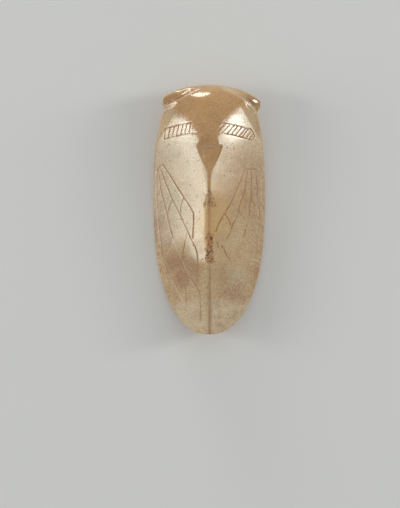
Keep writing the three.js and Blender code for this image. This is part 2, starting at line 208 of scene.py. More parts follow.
def rim_height(s):
    """The rim's lower edge: a cosine rise to the head, a bell at the eyes, a round rise aft."""
    headward = np.clip((s - HEAD_RISE["from"]) / HEAD_RISE["run"], 0.0, 1.0)
    tailward = np.clip((s - TAIL_RISE["from"]) / TAIL_RISE["run"], 0.0, 1.0)
    head = HEAD_RISE["height"] * (0.5 + 0.5 * np.cos(np.pi * headward))
    eye = EYE_RISE["height"] * np.exp(-((s / EYE_RISE["reach"]) ** 2))
    quarter = np.sqrt(np.clip(1.0 - tailward ** TAIL_RISE["power"], 0.0, 1.0))
    return RIM_LIFT + head + eye + TAIL_RISE["height"] * (1.0 - quarter)


print(f"crest: {CREST_HEIGHT} mm high to the collar, {TAIL_HEIGHT} mm at the tail")

# %% Edge band and shoulders
BAND_HEIGHT = 1.0
BAND_AT_HEAD = {"reach": 8.0, "gain": 0.5}
BAND_AT_TAIL = {"from": 45.0, "run": 15.0, "loss": 0.4}
SHOULDER = {"start": 7.4, "slant": 0.56, "at": 6.0, "slope": 0.2, "run": 0.7}
SHOULDER_RISE = (4.0, 6.5)
SHOULDER_END = (15.0, 11.5)


def edge_band(s):
    """Height of the upright band round the edge: more by the head and less at the tail."""
    tailward = np.clip((s - BAND_AT_TAIL["from"]) / BAND_AT_TAIL["run"], 0.0, 1.0)
    gain = BAND_AT_HEAD["gain"] * np.exp(-((s / BAND_AT_HEAD["reach"]) ** 2))
    return BAND_HEIGHT + gain - BAND_AT_TAIL["loss"] * tailward**2


def shoulder_fall(x, s):
    """Behind each eye the flank turns down sooner: a slope that sets in along a slanting line."""
    line = SHOULDER["start"] + SHOULDER["slant"] * (s - SHOULDER["at"])
    past = np.maximum(np.abs(x) - line, 0.0)
    eased = past - SHOULDER["run"] * (1.0 - np.exp(-past / SHOULDER["run"]))
    return SHOULDER["slope"] * eased * stretch(SHOULDER_RISE, SHOULDER_END, s)


print(f"edge band: {edge_band(WIDEST):.1f} mm at the flanks, {edge_band(LENGTH):.1f} at the tail")

# %% The back
NOSE_FALL = 6.2
NOSE_RUN = 3.3
ROOF_STRAIGHTNESS = 0.72
DOME_ROUNDING = 5.2
DOME_FADE = 6.0
DOME_END = 5.52
DOME_SOFTNESS = 1.0
RIDGE_ROUNDING = 0.12


def back_height(x, s):
    """The back: rim plus the roof's height, less an exponential fall behind the head's arc."""
    half = body_width(x, s)
    domed = DOME_ROUNDING * np.exp(-softened(s - DOME_END, DOME_SOFTNESS) / DOME_FADE)
    rounding = np.maximum(domed, RIDGE_ROUNDING)
    out = np.hypot(np.minimum(np.abs(x), half), rounding) - rounding
    share = out / (np.hypot(half, rounding) - rounding)
    fall = ROOF_STRAIGHTNESS * share + (1.0 - ROOF_STRAIGHTNESS) * share**2
    nose = NOSE_FALL * np.exp(-np.maximum(s - front_arc(x), 0.0) / NOSE_RUN)
    edge = rim_height(s) + edge_band(s)
    return edge + (crest_height(s) - edge - nose) * (1.0 - fall) - shoulder_fall(x, s)


print(f"back: {float(back_height(0.0, CREST_AT)):.1f} mm high on the crest behind the collar")

# %% [markdown]
# ## One grid over the plan
# A grid bent to the outline carries the heights. A plain square grid would leave steps along the
# edge, and a round one would crowd at its pole. Here the first row is the head's arc and the last
# is the tail's end, so no row shrinks to a point. Columns crowd at the ridge and at the edges,
# where the form turns fastest.

# %% Plan grid
COLUMNS = 216
EYE_FRONT_ROWS = 6
EYE_REAR_ROWS = 10
FLANK_ROWS = 284
TAIL_END_HALF = 5.45
EASING = 0.45
EASING_TURN = 0.46 * np.pi
CROWDING = 0.3
CROWDING_TURN = 4.0 * np.pi
BOW_FADE = 1.9
BULGE_POWER = 7


def side_outline(eye):
    """x and s down one side: straight runs round the eye, then the flank to the tail's end."""
    corner = np.array([eye["corner"], float(front_arc(eye["corner"]))])
    tip = np.array([eye["tip"], eye["tip_at"]])
    notch = np.array([float(flank_width(eye, eye["notch_at"])), eye["notch_at"]])
    first = mix(corner, tip, np.linspace(0.0, 1.0, EYE_FRONT_ROWS, endpoint=False)[:, None])
    second = mix(tip, notch, np.linspace(0.0, 1.0, EYE_REAR_ROWS, endpoint=False)[:, None])
    t = np.linspace(0.0, 1.0, FLANK_ROWS + 1)
    eased = (1.0 - EASING) * t + EASING * np.sin(EASING_TURN * t) / np.sin(EASING_TURN)
    s = mix(notch[1], float(tail_outline(TAIL_END_HALF)), eased)
    third = np.column_stack([flank_width(eye, s), s])
    return np.vstack([first, second, third])


def plan_grid():
    """Places from the left side to the right, bowed like the head in front and the tail behind."""
    left = side_outline(LEFT_EYE) * np.array([-1.0, 1.0])
    right = side_outline(RIGHT_EYE)
    t = np.linspace(0.0, 1.0, COLUMNS + 1)
    across = t - CROWDING * np.sin(CROWDING_TURN * t) / CROWDING_TURN
    x = mix(left[:, :1], right[:, :1], across)
    s = mix(left[:, 1:], right[:, 1:], across)
    past_eyes = np.arange(len(left)) - EYE_FRONT_ROWS - EYE_REAR_ROWS
    down = np.clip(past_eyes / FLANK_ROWS, 0.0, 1.0)[:, None]
    bow = front_arc(x) - mix(front_arc(left[:, :1]), front_arc(right[:, :1]), across)
    bulge = tail_outline(TAIL_END_HALF * (2.0 * across - 1.0)) - tail_outline(TAIL_END_HALF)
    s = s + np.clip(1.0 - BOW_FADE * down, 0.0, 1.0) ** 2 * bow + down**BULGE_POWER * bulge
    return x, s


plan_x, plan_s = plan_grid()
ROWS = len(plan_x) - 1
print(f"plan grid: {ROWS} rows by {COLUMNS} columns")

# %% [markdown]
# ## The lines that are cut into the skin
# The carver scratched the lines with a wheel, so each is a shallow V that wavers in width and
# depth. They could be drawn as curves and cut with a Boolean, which is slow and leaves rough
# edges. Here a line is a list of places, and the groove's depth comes from the distance to the
# nearest line. For the veins the places are shares of the half width and of the length, in
# hundredths. The left wing's net is cut firmly in front. Behind, and on the right wing, it is worn
# to traces.

# %% Veins of the left wing
LEFT_FIRM = [
    [(-83.7, 31.8), (-72.4, 35.7), (-56.2, 41.9), (-46.4, 45.4), (-36.4, 48.9), (-27.8, 52.4),
     (-27.8, 54.3), (-29.6, 62.2)],
    [(-66.2, 46.1), (-55.0, 51.3), (-38.9, 59.2), (-31.5, 63.0), (-25.3, 65.5), (-22.2, 67.5),
     (-20.4, 71.3)],
    [(-46.4, 46.0), (-51.3, 49.2), (-51.9, 52.7)],
]
LEFT_SOFT = [
    [(-87.4, 33.5), (-81.2, 37.4), (-75.0, 40.9), (-66.2, 46.1)],
    [(-66.2, 46.1), (-71.9, 48.3), (-74.1, 50.8)],
    [(-40.2, 59.8), (-43.3, 63.0), (-45.8, 66.0), (-49.0, 69.9)],
    [(-89.9, 35.9), (-86.2, 42.2), (-81.2, 46.7), (-75.0, 52.1), (-73.8, 54.0), (-67.4, 59.2),
     (-64.9, 61.4)],
    [(-83.7, 31.8), (-88.2, 32.0), (-94.0, 33.9)],
]
LEFT_WORN = [
    [(-94.0, 33.9), (-94.4, 44.2), (-90.7, 56.0), (-81.7, 68.9), (-68.9, 77.3)],
    [(-20.4, 71.3), (-21.3, 80.4)],
    [(-88.4, 41.2), (-94.2, 44.1)],
    [(-66.6, 60.9), (-81.7, 70.1)],
    [(-35.8, 76.8), (-41.1, 79.9), (-41.8, 87.8)],
    [(-16.5, 83.6), (-15.3, 90.4), (-15.9, 94.4)],
    [(-35.8, 76.8), (-23.9, 80.5), (-16.5, 83.7)],
]
LEFT_PALE = [
    [(-64.9, 61.4), (-56.2, 66.6), (-47.5, 71.1), (-35.8, 76.8)],
    [(-68.9, 77.3), (-53.8, 83.8), (-29.0, 91.8), (-13.3, 95.6)],
]

# %% Veins of the right wing
RIGHT_FIRM = [
    [(42.4, 46.4), (34.9, 49.5), (27.5, 52.4), (19.5, 55.3), (14.5, 57.9), (12.6, 59.7)],
    [(28.7, 52.7), (34.9, 55.0), (38.0, 56.8)],
    [(37.4, 59.5), (31.2, 62.4)],
    [(21.2, 65.2), (26.2, 66.3), (29.9, 68.5), (36.8, 70.5)],
]
RIGHT_SOFT = [
    [(64.2, 34.3), (79.8, 33.9)],
    [(63.5, 34.6), (56.1, 39.0), (47.4, 43.5), (42.4, 46.4)],
    [(68.5, 34.9), (65.4, 40.1), (61.7, 44.6), (56.1, 47.4), (52.3, 51.1), (47.4, 54.2),
     (41.8, 56.4), (37.4, 59.5)],
    [(53.6, 51.3), (59.8, 53.0), (64.2, 54.0)],
    [(75.5, 35.0), (75.5, 40.3), (74.8, 45.8), (71.7, 49.2), (71.7, 52.2)],
    [(74.8, 45.8), (82.9, 48.1)],
    [(84.2, 36.0), (86.1, 40.1), (86.1, 43.9)],
    [(89.2, 47.9), (90.5, 53.6)],
    [(13.9, 63.8), (16.4, 66.0)],
    [(64.8, 57.8), (61.7, 60.7)],
]
RIGHT_WORN = [
    [(71.7, 52.2), (64.8, 57.8), (61.7, 60.7), (49.4, 70.1), (36.0, 76.8), (24.0, 80.9),
     (11.3, 85.0), (8.9, 88.7)],
    [(90.5, 53.6), (81.2, 68.8), (68.4, 77.3), (53.4, 83.8), (28.6, 91.7), (10.5, 96.0)],
]
RIGHT_PALE = [
    [(8.1, 89.5), (7.1, 91.1), (7.7, 94.4), (8.6, 97.5)],
    [(12.0, 86.0), (8.9, 89.0)],
    [(87.7, 49.2), (88.3, 51.8)],
    [(79.0, 69.4), (86.0, 69.5), (91.5, 70.4)],
]


def on_stone(line):
    """Places in millimetres from shares of the half width and the length, in hundredths."""
    return np.array(line) / 100.0 * np.array([HALF_WIDTH, LENGTH])


def all_on_stone(lines):
    """The same for a list of lines."""
    return [on_stone(line) for line in lines]


left_count = len(LEFT_FIRM + LEFT_SOFT + LEFT_WORN)
right_count = len(RIGHT_FIRM + RIGHT_SOFT + RIGHT_WORN)
print(f"veins: {left_count} lines on the left wing, {right_count} on the right")

# %% [markdown]
# The collar is a band of slanting strokes between two lines. On the left they were cut evenly, so
# they are a row with one step. On the right each slants its own way, so each has its own ends.
# Over the crest the band is worn away but for two faint lines.

# %% The collar's edges
COLLAR_BOW = 0.009
COLLAR_TILT = 0.023
COLLAR_FRONT = 9.84
COLLAR_REAR = 12.38
COLLAR_LEFT = (-10.7, -3.7)
COLLAR_MIDDLE = (-3.7, 3.4)
COLLAR_RIGHT = (3.4, 10.2)
EDGE_POINTS = 9


def collar_line(x, start):
    """One edge of the collar: a shallow parabola bowed back to the flanks, a little tilted."""
    return start + COLLAR_BOW * x * x + COLLAR_TILT * x


def collar_edges(part):
    """Both edges of a part of the collar between two places across."""
    x = np.linspace(*part, EDGE_POINTS)
    return [np.column_stack([x, collar_line(x, start)]) for start in (COLLAR_FRONT, COLLAR_REAR)]


left_edges = collar_edges(COLLAR_LEFT)
right_edges = collar_edges(COLLAR_RIGHT)
middle_edges = collar_edges(COLLAR_MIDDLE)
print(f"collar: {COLLAR_REAR - COLLAR_FRONT:.1f} mm between its edges")

# %% The collar's strokes
LEFT_STROKES = {"first": -9.9, "step": 1.016, "count": 6, "lean": 0.6}
LEFT_END = {"foot": -10.75, "lean": 0.25}
RIGHT_STROKES = [
    [(2.9, 12.6), (5.05, 10.15)],
    [(4.1, 12.65), (5.95, 10.4)],
    [(5.15, 12.8), (6.85, 10.45)],
    [(6.1, 12.95), (7.8, 10.6)],
    [(7.1, 12.95), (8.8, 10.7)],
    [(7.75, 13.2), (9.3, 11.0)],
    [(8.75, 13.15), (9.85, 11.5)],
    [(9.5, 13.3), (10.45, 11.95)],
    [(2.1, 12.1), (3.55, 10.5)],
]
RIGHT_END = [(9.85, 10.75), (10.65, 11.9), (10.8, 12.5), (10.45, 13.25)]
PALE_STROKES = [
    [(1.95, 11.8), (3.5, 10.2)],
    [(-0.95, 12.45), (0.3, 12.45)],
    [(-1.5, 9.98), (0.0, 9.95)],
]


def stroke(foot, lean):
    """A straight stroke from the collar's rear edge to a place further right on its front edge."""
    top = foot + lean
    return np.array([[foot, collar_line(foot, COLLAR_REAR)], [top, collar_line(top, COLLAR_FRONT)]])


left_feet = LEFT_STROKES["first"] + LEFT_STROKES["step"] * np.arange(LEFT_STROKES["count"])
left_hatching = [stroke(foot, LEFT_STROKES["lean"]) for foot in left_feet]
left_hatching.append(stroke(LEFT_END["foot"], LEFT_END["lean"]))
right_hatching = [np.array(line) for line in RIGHT_STROKES + [RIGHT_END]]
pale_strokes = [np.array(line) for line in PALE_STROKES]
print(f"collar: {len(left_hatching + right_hatching)} strokes")

# %% [markdown]
# The eye grooves are broad cuts from each notch towards the nose. The eye is what stands in front
# of them, ground to a slant along its outer side. Finer lines and lips run beside the left groove,
# over the nose. On the right the groove is short, and a pale brow and a bright lip lead past it.
# The lips and the brow carry painted highlights.

# %% Head lines
EYE_GROOVES = [
    [(-10.9, 4.95), (-9.75, 4.45), (-8.3, 3.85), (-7.1, 3.4), (-5.9, 2.85), (-4.7, 2.15),
     (-3.9, 1.5)],
    [(8.1, 3.45), (8.8, 3.75), (9.8, 4.45), (11.0, 5.35), (11.7, 5.95)],
]
GROOVE_STARTS = [[(5.6, 2.4), (6.9, 3.0), (8.1, 3.45)]]
EYE_FACETS = [
    [(-10.9, 4.35), (-9.5, 3.8), (-7.9, 3.15), (-6.3, 2.4), (-4.8, 1.6)],
    [(7.8, 3.3), (9.0, 3.8), (10.2, 4.6), (11.6, 5.5)],
]
EYE_LIPS = [
    [(-10.2, 5.3), (-8.65, 4.75), (-7.2, 4.18), (-6.1, 3.65), (-4.75, 2.95), (-3.65, 2.2),
     (-2.25, 1.3), (-1.5, 1.0)],
    [(-7.4, 2.3), (-6.1, 1.6), (-4.6, 0.95)],
]
BROW_LINE = np.array([(4.4, 1.45), (5.3, 1.95), (6.45, 2.6), (7.3, 3.2), (8.15, 3.85)])
BRIGHT_LIP = np.array([(8.15, 3.85), (9.1, 4.65), (9.8, 5.25), (10.6, 5.85)])
NOSE_LINES = [[(-4.1, 2.75), (-2.6, 1.8), (-1.65, 1.1), (-0.95, 0.85)]]
print(f"head: {len(EYE_GROOVES)} eye grooves, {len(EYE_LIPS)} lips beside the left one")

# %% [markdown]
# Each kind of line has a half width, a depth and an amount of dirt. Dirt collects in a scratch
# after burial, so it shows darkest where the polish is brightest. Where a scratch has lost its
# dirt it looks paler than the stone, and those lines are a list of their own. On the lips, the
# right brow and the bright lip that amount is a painted highlight instead.

# %% Kinds of line
BACK_LINES = [
    {"lines": EYE_FACETS, "half_width": 0.75, "depth": 0.2, "dirt": 0.0},
    {"lines": EYE_GROOVES, "half_width": 0.42, "depth": 0.36, "dirt": 0.3},
    {"lines": GROOVE_STARTS, "half_width": 0.35, "depth": 0.1, "dirt": 0.0},
    {"lines": all_on_stone(RIGHT_WORN), "half_width": 0.14, "depth": 0.03, "dirt": 0.18},
    {"lines": all_on_stone(LEFT_WORN), "half_width": 0.15, "depth": 0.05, "dirt": 0.36},
    {"lines": all_on_stone(RIGHT_SOFT), "half_width": 0.16, "depth": 0.04, "dirt": 0.68},
    {"lines": all_on_stone(LEFT_SOFT), "half_width": 0.15, "depth": 0.05, "dirt": 0.68},
    {"lines": all_on_stone(RIGHT_FIRM), "half_width": 0.15, "depth": 0.06, "dirt": 0.85},
    {"lines": all_on_stone(LEFT_FIRM), "half_width": 0.145, "depth": 0.07, "dirt": 0.88},
    {"lines": middle_edges, "half_width": 0.14, "depth": 0.05, "dirt": 0.12},
    {"lines": left_hatching + left_edges, "half_width": 0.15, "depth": 0.045, "dirt": 1.0},
    {"lines": right_hatching + right_edges, "half_width": 0.17, "depth": 0.025, "dirt": 1.1},
    {"lines": NOSE_LINES, "half_width": 0.2, "depth": 0.14, "dirt": 0.6},
]
PALE_AND_HIGHLIGHT_LINES = [
    {"lines": pale_strokes, "half_width": 0.13, "depth": 0.03, "dirt": 0.25},
    # These three carry a painted highlight along the lips and the brow.
    {"lines": EYE_LIPS, "half_width": 0.16, "depth": 0.0, "dirt": 0.45},
    {"lines": [BROW_LINE], "half_width": 0.16, "depth": 0.0, "dirt": 0.8},
    {"lines": [BRIGHT_LIP], "half_width": 0.2, "depth": 0.0, "dirt": 0.8},
    {"lines": all_on_stone(LEFT_PALE), "half_width": 0.15, "depth": 0.06, "dirt": 0.26},
    {"lines": all_on_stone(RIGHT_PALE), "half_width": 0.15, "depth": 0.03, "dirt": 0.6},
]
print(f"kinds of line: {len(BACK_LINES)} dark, {len(PALE_AND_HIGHLIGHT_LINES)} pale")

# %% [markdown]
# A hand never cuts evenly. Random numbers for every point would make a rough surface, so the
# unevenness comes from random values on a lattice, joined smoothly, whose spacing sets the size
# of what it makes. Each use has a seed of its own, so the stone comes out the same every time.

# %% Smooth random values
LATTICE = 160
LATTICE_START = (61.3, 17.9)


def value_noise(x, s, size, seed):
    """Random values on a lattice of one size, joined by smooth steps, from 0 to 1."""
    lattice = np.random.default_rng(seed).random((LATTICE, LATTICE))
    u = x / size + LATTICE_START[0]
    v = s / size + LATTICE_START[1]
    column = np.floor(u).astype(int)
    row = np.floor(v).astype(int)
    tu = ramp(0.0, 1.0, u - column)
    tv = ramp(0.0, 1.0, v - row)
    corner = [lattice[(row + i) % LATTICE, (column + j) % LATTICE] for i in (0, 1) for j in (0, 1)]
    return mix(mix(corner[0], corner[1], tu), mix(corner[2], corner[3], tu), tv)


def swing(x, s, amount, size, seed):
    """The same, as an amount up and down from nothing."""
    return amount * (value_noise(x, s, size, seed) - 0.5)


print(f"random values: a lattice of {LATTICE} by {LATTICE}, the same in every run")

# %% Distance to a line
FAR_AWAY = 1e9


def distance_to(line, x, s):
    """Shortest distance from every place to a bent line, segment by segment."""
    nearest = np.full(x.shape, FAR_AWAY)
    for (ax, ay), (bx, by) in zip(line[:-1], line[1:]):
        run_x = bx - ax
        run_y = by - ay
        t = np.clip(((x - ax) * run_x + (s - ay) * run_y) / (run_x**2 + run_y**2), 0.0, 1.0)
        nearest = np.minimum(nearest, np.hypot(x - ax - t * run_x, s - ay - t * run_y))
    return nearest


groove_gap = distance_to(EYE_GROOVES[0], np.zeros(1), np.zeros(1))
print(f"distances: the left eye groove ends {groove_gap[0]:.1f} mm from the front of the head")

# %% Grooves from lines
GROOVE_POWER = 0.8
DIRT_REACH = 3.0
DEPTH_WAVER = {"least": 0.6, "most": 1.25, "size": 1.3}
PLACE_WAVER = {"amount": 0.05, "size": 0.9}


def cut_lines(kinds, x, s, seed):
    """Depth of all grooves, closeness to a groove (1 on it, 0 at its reach) and its dirt."""
    depth = np.zeros(x.shape)
    near = np.zeros(x.shape)
    dirt = np.zeros(x.shape)
    waver = value_noise(x, s, DEPTH_WAVER["size"], seed)
    waver = mix(DEPTH_WAVER["least"], DEPTH_WAVER["most"], waver)
    wobble = swing(x, s, PLACE_WAVER["amount"], PLACE_WAVER["size"], seed + 1)
    for kind in kinds:
        reach = DIRT_REACH * kind["half_width"]
        for line in kind["lines"]:
            away = distance_to(line, x + wobble, s + wobble)
            groove = np.clip(1.0 - away / kind["half_width"], 0.0, 1.0) ** GROOVE_POWER
            depth = np.maximum(depth, kind["depth"] * waver * groove)
            close = np.clip(1.0 - away / reach, 0.0, 1.0)
            dirt = np.where(close > near, kind["dirt"] * waver, dirt)
            near = np.maximum(near, close)
    return depth, near, dirt


print(f"grooves: V cuts, with dirt to {DIRT_REACH:.0f} half widths")

# %% Lips beside the eye grooves
LIP_HALF_WIDTH = 0.32
LIP_HEIGHT = 0.05


def raised_lips(x, s):
    """Height of the small rounded lips beside the eye grooves: a squared cosine across each."""
    height = np.zeros(x.shape)
    for line in EYE_LIPS:
        away = np.clip(distance_to(line, x, s) / LIP_HALF_WIDTH, 0.0, 1.0)
        height = np.maximum(height, LIP_HEIGHT * np.cos(0.5 * np.pi * away) ** 2)
    return height


print(f"lips: {2 * LIP_HALF_WIDTH:.2f} mm wide and {LIP_HEIGHT} mm high")

# %% [markdown]
# ## The recess behind the collar
# In front lies an apron, a plane that leans gently back, bends down behind, and takes the roundness
# off the crest. A small step across its rear edge drops to the floor, which is stretched straight
# between the two edges that run together on the ridge. These are three surfaces, and the lowest of
# them is the skin. Cutting them out of a solid would give hard edges, while a minimum with a fold
# keeps them a little round.

# %% Step and apron
STEP_AT = 15.7
STEP_SLANT = -0.04
STEP_FALL = (0.08, -0.08)
APRON_START = 12.2
APRON_HEIGHT = 12.93
APRON_SLOPE = 0.3
APRON_TILT = 0.13
APRON_BEND = 0.09
APRON_BEND_FROM = 14.0
APRON_SETS_IN = (9.0, 12.0)
FOLD_WIDTH = 0.1


def step_line(x):
    """Where the step crosses the recess: a straight line, a little aslant."""
    return STEP_AT + STEP_SLANT * x


def on_apron(x, s, height):
    """The lower of the skin and the apron's plane, with the fold between them rounded."""
    plane = APRON_HEIGHT - APRON_SLOPE * (s - APRON_START) + APRON_TILT * np.maximum(x, 0.0)
    plane = plane - APRON_BEND * np.maximum(s - APRON_BEND_FROM, 0.0) ** 2
    lower = 0.5 * (height + plane - np.hypot(height - plane, FOLD_WIDTH))
    return mix(height, lower, ramp(*STEP_FALL, s - step_line(x)) * ramp(*APRON_SETS_IN, s))


print(f"apron: {STEP_AT - APRON_START:.1f} mm long, {APRON_HEIGHT} mm high where it begins")

# %% Recess
RECESS_CORNERS = 15.4
RECESS_END = 22.25
RECESS_LEFT = 2.92
RECESS_RIGHT = 3.12
RECESS_CLOSING = 0.98
RECESS_POWER = 1.25
FLOOR_SINK = 0.07
FLOOR_HOLLOW = 0.26


def recess_edges(s):
    """Left and right edge: full width at the corners, then closing with a power."""
    share = np.clip((s - RECESS_CORNERS) / (RECESS_END - RECESS_CORNERS), 0.0, 1.0)
    opening = 1.0 - RECESS_CLOSING * share**RECESS_POWER
    return -RECESS_LEFT * opening, RECESS_RIGHT * opening


def recess_floor(x, s):
    """A straight line from edge to edge, sunk a little more in the middle."""
    left, right = recess_edges(s)
    share = np.clip((x - left) / (right - left), 0.0, 1.0)
    level = mix(back_height(left, s), back_height(right, s), share)
    return level - FLOOR_SINK - FLOOR_HOLLOW * share * (1.0 - share)


def into_recess(x, s):
    """Millimetres into the recess from its nearest edge, less than nothing outside it."""
    left, right = recess_edges(s)
    sides = np.minimum(x - left, right - x)
    return np.minimum(sides, np.minimum(s - step_line(x), RECESS_END - s))


print(f"recess: {RECESS_LEFT + RECESS_RIGHT:.1f} mm wide, {RECESS_END - STEP_AT:.1f} mm long")

# %% [markdown]
# ## Rough places, wear and polish
# A buried stone is eaten in spots, and two places on the ridge are rough: a small triangle and a
# longer strip. The ridge between and behind them is worn flat. Hand polishing leaves very shallow
# waves, which bend the reflections. All of it could be bump in the material, but as real form it
# is also in the mesh, and its edges catch the lamps.

# %% Rough places
ROUGH_PLACES = [
    {"x": 0.12, "start": 35.7, "full": 37.0, "end": 43.6, "half": 0.98, "strength": 1.0},
    {"x": 0.1, "start": 25.3, "full": 29.3, "end": 30.3, "half": 1.4, "strength": 0.6},
]
ROUGH_LEAST_OPENING = 0.01
ROUGH_RIM = (1.1, 0.7)
ROUGH_RAGGED = {"amount": 0.8, "size": 0.55, "seed": 5, "at_end": 0.8}
ROUGH_SETS_IN = 0.5
ROUGH_DIES_OUT = 0.7
PITS = [
    {"depth": 0.1, "size": 0.4, "seed": 21, "from": (0.5, 0.9)},
    {"depth": 0.05, "size": 0.8, "seed": 22, "from": (0.45, 0.8)},
]


def rough_zone(x, s):
    """How rough the ridge is: wedges that widen to a full half width, with ragged edges."""
    ragged = swing(x, s, ROUGH_RAGGED["amount"], ROUGH_RAGGED["size"], ROUGH_RAGGED["seed"])
    zone = np.zeros(x.shape)
    for rough in ROUGH_PLACES:
        length = rough["full"] - rough["start"]
        opening = np.clip((s - rough["start"]) / length, ROUGH_LEAST_OPENING, 1.0)
        away = np.abs(x - rough["x"]) / (rough["half"] * opening) + ragged
        inside = ramp(*ROUGH_RIM, away) * ramp(rough["start"], rough["start"] + ROUGH_SETS_IN, s)
        ragged_s = s + ROUGH_RAGGED["at_end"] * ragged
        inside = inside * ramp(rough["end"], rough["end"] - ROUGH_DIES_OUT, ragged_s)
        zone = np.maximum(zone, rough["strength"] * inside)
    return zone


def rough_depth(x, s):
    """Pits of the rough places: the upper parts of noise at two sizes."""
    pits = [pit["depth"] * ramp(*pit["from"], value_noise(x, s, pit["size"], pit["seed"]))
            for pit in PITS]
    return rough_zone(x, s) * sum(pits)


deepest_pit = sum(pit["depth"] for pit in PITS)
print(f"rough places: {len(ROUGH_PLACES)}, pits up to {deepest_pit:.2f} mm deep")

# %% Waves of polishing and the worn ridge
WAVES = [
    {"height": 0.05, "size": 3.1, "seed": 31},
    {"height": 0.016, "size": 1.2, "seed": 32},
]
CALM_SHARE = 0.85
CALM_ACROSS = (1.0, 4.0)
CALM_ALONG = (15.0, 12.0)
RIDGE_WEAR = 0.6
RIDGE_WEAR_SHARE = 0.55
RIDGE_WEAR_LEAST = 0.01
RIDGE_WEAR_STARTS = (26.0, 31.0)
RIDGE_WEAR_LESSENS = (35.0, 41.0)
RIDGE_WEAR_REAR = 0.45


def polish_waves(x, s):
    """Waves a few hundredths of a millimetre high, and hardly any on the right shoulder."""
    waves = sum(swing(x, s, wave["height"], wave["size"], wave["seed"]) for wave in WAVES)
    calm = CALM_SHARE * ramp(*CALM_ACROSS, x) * ramp(*CALM_ALONG, s)
    return waves * (1.0 - calm)


def ridge_wear(x, s):
    """What wear has taken off the ridge: the gap between a roof's edge and a hyperbola under it."""
    lessened = mix(1.0, RIDGE_WEAR_REAR, ramp(*RIDGE_WEAR_LESSENS, s))
    radius = RIDGE_WEAR * ramp(*RIDGE_WEAR_STARTS, s) * lessened + RIDGE_WEAR_LEAST
    return RIDGE_WEAR_SHARE * (np.hypot(x, radius) - np.abs(x))


print(f"ridge: worn down by up to {RIDGE_WEAR_SHARE * RIDGE_WEAR:.2f} mm")

# %% [markdown]
# The head shows small flats: one on the nose, one on the right eye, and one along the lip behind
# that eye. A flat mirrors a lamp all over at once, and so flashes as one clean patch, where a round
# surface gives a thin line. So a flat is a plane that the skin is mixed into.

# %% Flats on the nose and the eye
NOSE_PATCH = {"x": -2.1, "s": 2.45, "half_x": 2.8, "half_s": 1.6, "curve": 0.08}
EYE_FLAT = {"x": 10.95, "s": 4.15, "z": 7.06, "slope": 0.68, "half_x": 0.95, "half_s": 0.55}
EYE_FLAT_SKEW = {"across": 0.35, "along": 0.3}
EYE_FLAT_RIM = (1.25, 0.9)


def nose_plane(x, s):
    """Takes the curve out of a small oval on the nose, so that it mirrors a lamp as one patch."""
    along = s - NOSE_PATCH["s"]
    across = (x - NOSE_PATCH["x"]) / NOSE_PATCH["half_x"]
    oval = np.exp(-(across**2) - (along / NOSE_PATCH["half_s"]) ** 2)
    return 0.5 * NOSE_PATCH["curve"] * along**2 * oval


def eye_flat(x, s):
    """A small flat ground on the right eye, a skewed oval: its share and its height."""
    along = s - EYE_FLAT["s"]
    across = x - EYE_FLAT["x"]
    plane = EYE_FLAT["z"] - EYE_FLAT["slope"] * across
    skewed_across = across + EYE_FLAT_SKEW["across"] * along
    skewed_along = along - EYE_FLAT_SKEW["along"] * across
    reach = np.hypot(skewed_across / EYE_FLAT["half_x"], skewed_along / EYE_FLAT["half_s"])
    return ramp(*EYE_FLAT_RIM, reach), plane


flat_widths = [2 * flat["half_x"] for flat in (NOSE_PATCH, EYE_FLAT)]
print(f"flats: {flat_widths[0]:.1f} mm wide on the nose, {flat_widths[1]:.1f} mm on the eye")

# %% The lip behind the right eye
LIP_LEAN = 0.02
LIP_SINK = 0.1
LIP_RIM = (0.646, 0.204)
HOLLOW_DEPTH = 0.25
HOLLOW_REACH = 2.0
HOLLOW_STARTS = (-0.5, 0.3)


def lip_flat(x, s):
    """The right eye's lip, ground to a narrow flat that looks one way: its share and its height.
    Each straight part climbs as the back does, and leans so that all parts look the same way."""
    nearest = np.full(x.shape, FAR_AWAY)
    height = np.zeros(x.shape)
    for (ax, ay), (bx, by) in zip(BRIGHT_LIP[:-1], BRIGHT_LIP[1:]):
        length = math.hypot(bx - ax, by - ay)
        unit_x = (bx - ax) / length
        unit_s = (by - ay) / length
        climb = (back_height(bx, by) - back_height(ax, ay)) / length
        lean = (LIP_LEAN - climb * unit_s) / unit_x
        along = np.clip((x - ax) * unit_x + (s - ay) * unit_s, 0.0, length)
        beside = (s - ay) * unit_x - (x - ax) * unit_s
        away = np.hypot(x - ax - along * unit_x, s - ay - along * unit_s)
        level = back_height(ax, ay) + climb * along + lean * beside
        height = np.where(away < nearest, level, height)
        nearest = np.minimum(nearest, away)
    return ramp(*LIP_RIM, nearest), height - LIP_SINK


def lip_hollow(x, s):
    """Behind that lip the skin is a little hollow, by the square of the nearness to the lip."""
    near = np.clip(1.0 - distance_to(BRIGHT_LIP, x, s) / HOLLOW_REACH, 0.0, 1.0)
    behind = s - np.interp(x, BRIGHT_LIP[:, 0], BRIGHT_LIP[:, 1])
    return HOLLOW_DEPTH * near**2 * ramp(*HOLLOW_STARTS, behind)


print(f"lip: a narrow flat, with a hollow {HOLLOW_DEPTH} mm deep behind it")

# %% [markdown]
# ## The back as points
# The cuts go in along the surface's own normal, which is the cross product of the grid's two
# directions. A displacement modifier would do the same from a picture, but here everything is
# already a number for each point. The edge is turned over with a small quarter circle, because a
# polished stone has no sharp arris.

# %% Edges and normals
EDGE_ROUND = 0.28
NOSE_ROUND = 0.6
NOSE_ACROSS = (9.0, 3.0)
NOSE_BEHIND_ARC = (4.0, 1.0)
NEXT_TO_NOTHING = 1e-9


